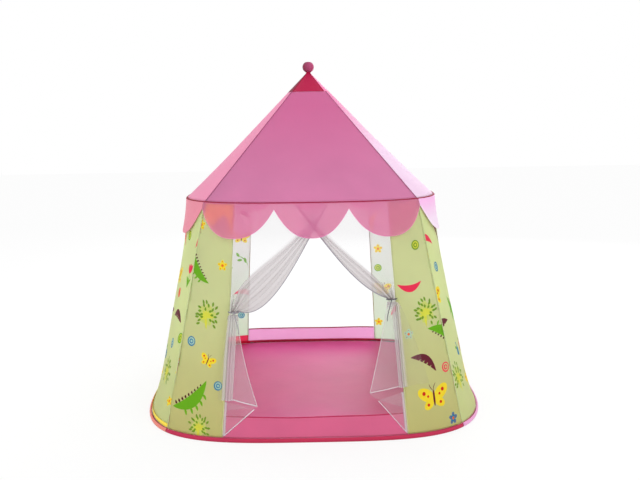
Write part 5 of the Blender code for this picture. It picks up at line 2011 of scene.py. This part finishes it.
class TENT_OT_ties(TentOperator, bpy.types.Operator):
    """Ties a cord round each curtain, with its knot and loose tail"""

    bl_idname = "tent.ties"
    bl_label = "Curtain ties"

    def make(self, form, colours):
        radius = form.cord / 2
        angles = np.linspace(0, 4 * math.pi, 96)
        drop = np.linspace(TIE_TURN_DROP, -TIE_TURN_DROP, 96)
        half_width, half_depth = GATHER_HALF_WIDTH + TIE_REACH, GATHER_HALF_DEPTH + TIE_REACH
        for hand, way in HANDS.items():
            tint = colours.left_tie if hand == "left" else colours.tie
            look = twisted_cord(f"grey {hand} tie cord", tint)
            centre = form.gather(hand)
            path = centre + stack(half_width * np.cos(angles), half_depth * np.sin(angles), drop)
            loop = band(f"{hand}_tie_loop", path, (0, 0, 1), radius * 0.8, radius * 0.8)
            dress(loop, look, nodes=[f"{hand}_curtain_tie"])
            knot_middle = centre - np.array((0, half_depth + KNOT_RADIUS / 2, 0))
            self.knot(hand, knot_middle, radius, look)
            start = centre + np.array((way * half_width, 0, 0))
            beside = TAB_OFF_WALL + radius
            anchor = form.door_place(hand, -GATHER_HALF_DEPTH, beside, GATHER_HEIGHT[hand])
            middle = (start + anchor) / 2 - np.array((0, 0, TAB_DROOP))
            path = smooth_path([start, middle, anchor], 20)
            dress(band(f"{hand}_tie_tab", path, (0, 0, 1), radius, radius), look)
            self.tail(form, hand, way, knot_middle, look)

    def knot(self, hand, middle, radius, look):
        """An overhand knot: a closed trefoil of the cord, pulled flat."""
        t = ring_of(120)
        path = middle + KNOT_SIZE * stack(
            np.sin(t) + 1.6 * np.sin(2 * t),
            -0.9 * np.sin(3 * t),
            np.cos(t) - 1.6 * np.cos(2 * t),
        )
        piece = band(f"{hand}_tie_knot", path, (0, 1, 0.01), radius * 0.85, radius * 0.85, 10, True)
        dress(piece, look)

    def tail(self, form, hand, way, knot_middle, look):
        start = knot_middle - np.array((0, KNOT_RADIUS + TAIL_OFF_KNOT, 0))
        route = [start + np.array((way * x, y, z)) for x, y, z in TAIL_ROUTE]
        path = smooth_path(route, 34)
        radius = form.cord / 2
        piece = band(f"{hand}_tail_cord", path, (0, 1, 0.01), radius, radius, 12)
        dress(piece, look, nodes=[f"{hand}_tie_tail"])
        float(running_length(path)[-1])


# The photograph's camera, its pixel values in a frame this wide
PHOTO_PIXELS = 640
FOCAL_PIXELS = 768.7
SHIFT_PIXELS = (10.8, -105.8)
SENSOR = 36
CAMERA_YAW = 0.0076
CAMERA_ROLL = 0.0157
CAMERA_FAR = 3.3654
CAMERA_HEIGHT = 1.0843
LAMPS_AIM = (0, 0, 0.6)
WHITE = (1, 1, 1, 1)


class TENT_OT_stage(TentOperator, bpy.types.Operator):
    """Sets the pale floor, the lamps and the camera at the photographed angle"""

    bl_idname = "tent.stage"
    bl_label = "Floor, light and camera"

    def make(self, form, colours):
        scene = bpy.context.scene
        scene.view_settings.view_transform = "Standard"
        self.ground()
        self.world(scene)
        self.lamp("key", (2.6, -3.4, 3.6), 2.6, 40)
        self.lamp("fill", (-3.6, -2.6, 2.2), 3.0, 20)
        self.lamp("behind", (1.2, 3.6, 2.4), 3.0, 60)
        self.camera(scene)

    def camera(self, scene):
        """The camera that was solved from the photograph's corners, hoops and jambs."""
        camera = bpy.data.cameras.new("camera")
        camera.sensor_width = SENSOR
        camera.lens = FOCAL_PIXELS / PHOTO_PIXELS * SENSOR
        camera.shift_x, camera.shift_y = (pixels / PHOTO_PIXELS for pixels in SHIFT_PIXELS)
        eye = bpy.data.objects.new("camera", camera)
        scene.collection.objects.link(eye)
        turn = Matrix.Rotation(-CAMERA_YAW, 4, "Z") @ Matrix.Rotation(math.pi / 2, 4, "X")
        back = (-math.sin(CAMERA_YAW) * CAMERA_FAR, -math.cos(CAMERA_YAW) * CAMERA_FAR)
        spot = Matrix.Translation((*back, CAMERA_HEIGHT))
        eye.matrix_world = spot @ turn @ Matrix.Rotation(-CAMERA_ROLL, 4, "Z")
        scene.camera = eye

    def ground(self):
        bpy.ops.object.select_all(action="DESELECT")
        bpy.ops.mesh.primitive_plane_add(size=40, location=(0, 0, -0.0005))
        piece = bpy.context.active_object
        piece.name = "stage_floor"
        look = Look("white stage", (0.93, 0.93, 0.93), 0.9, specular=0.1)
        glow = look.add("Emission", {"Color": WHITE, "Strength": 1.0})
        seen = look.add("LightPath").outputs["Is Camera Ray"]
        share = look.maths("MULTIPLY", seen, 0.8)
        look.set(look.output, {"Surface": look.mix(share, look.shader, glow)})
        piece.data.materials.append(look.material)

    def world(self, scene):
        """White to the camera and in reflections, and a touch dimmer where it lights."""
        world = bpy.data.worlds.new("white studio")
        world.use_nodes = True
        scene.world = world
        nodes = Nodes(world.node_tree)
        plain = nodes.tree.nodes["Background"]
        nodes.set(plain, {"Color": WHITE, "Strength": 0.95})
        seen = nodes.add("Background", {"Color": WHITE, "Strength": 1.0})
        rays = nodes.add("LightPath").outputs
        share = nodes.maths("MAXIMUM", rays["Is Camera Ray"], rays["Is Glossy Ray"])
        share = nodes.maths("MAXIMUM", share, rays["Is Transmission Ray"])
        nodes.set(nodes.tree.nodes["World Output"], {"Surface": nodes.mix(share, plain, seen)})

    def lamp(self, name, spot, size, power):
        data = bpy.data.lights.new(name, "AREA")
        data.size = size
        data.energy = power
        lamp = bpy.data.objects.new(name, data)
        bpy.context.scene.collection.objects.link(lamp)
        lamp.location = spot
        aim = Vector(LAMPS_AIM) - Vector(spot)
        lamp.rotation_euler = aim.to_track_quat("-Z", "Y").to_euler()


OPERATORS = (
    TENT_OT_stage,
    TENT_OT_ties,
    TENT_OT_frame_finish,
    TENT_OT_floor,
    TENT_OT_walls,
    TENT_OT_sills,
    TENT_OT_eave,
    TENT_OT_roof,
    TENT_OT_cap,
    TENT_OT_valances,
    TENT_OT_curtains,
)


class TENT_PT_tools(bpy.types.Panel):
    """Lists the tent's operators, sizes and colours"""

    bl_idname = "TENT_PT_tools"
    bl_label = "Play Tent"
    bl_space_type = "VIEW_3D"
    bl_region_type = "UI"
    bl_category = "Play Tent"

    def draw(self, context):
        for operator in OPERATORS:
            self.layout.operator(operator.bl_idname)
        for group in (context.scene.tent_sizes, context.scene.tent_colours):
            box = self.layout.box()
            for name in group.__annotations__:
                box.prop(group, name)


CLASSES = (TentSizes, TentColours, *OPERATORS, TENT_PT_tools)


def register():
    for kind in CLASSES:
        bpy.utils.register_class(kind)
    bpy.types.Scene.tent_sizes = PointerProperty(type=TentSizes)
    bpy.types.Scene.tent_colours = PointerProperty(type=TentColours)


def unregister():
    del bpy.types.Scene.tent_colours
    del bpy.types.Scene.tent_sizes
    for kind in reversed(CLASSES):
        bpy.utils.unregister_class(kind)


def main():
    register()
    bpy.ops.tent.stage()
    bpy.ops.tent.ties()
    bpy.ops.tent.frame_finish()
    bpy.ops.tent.floor()
    bpy.ops.tent.walls()
    bpy.ops.tent.sills()
    bpy.ops.tent.eave()
    bpy.ops.tent.roof()
    bpy.ops.tent.cap()
    bpy.ops.tent.valances()
    bpy.ops.tent.curtains()


if __name__ == "__main__":
    main()
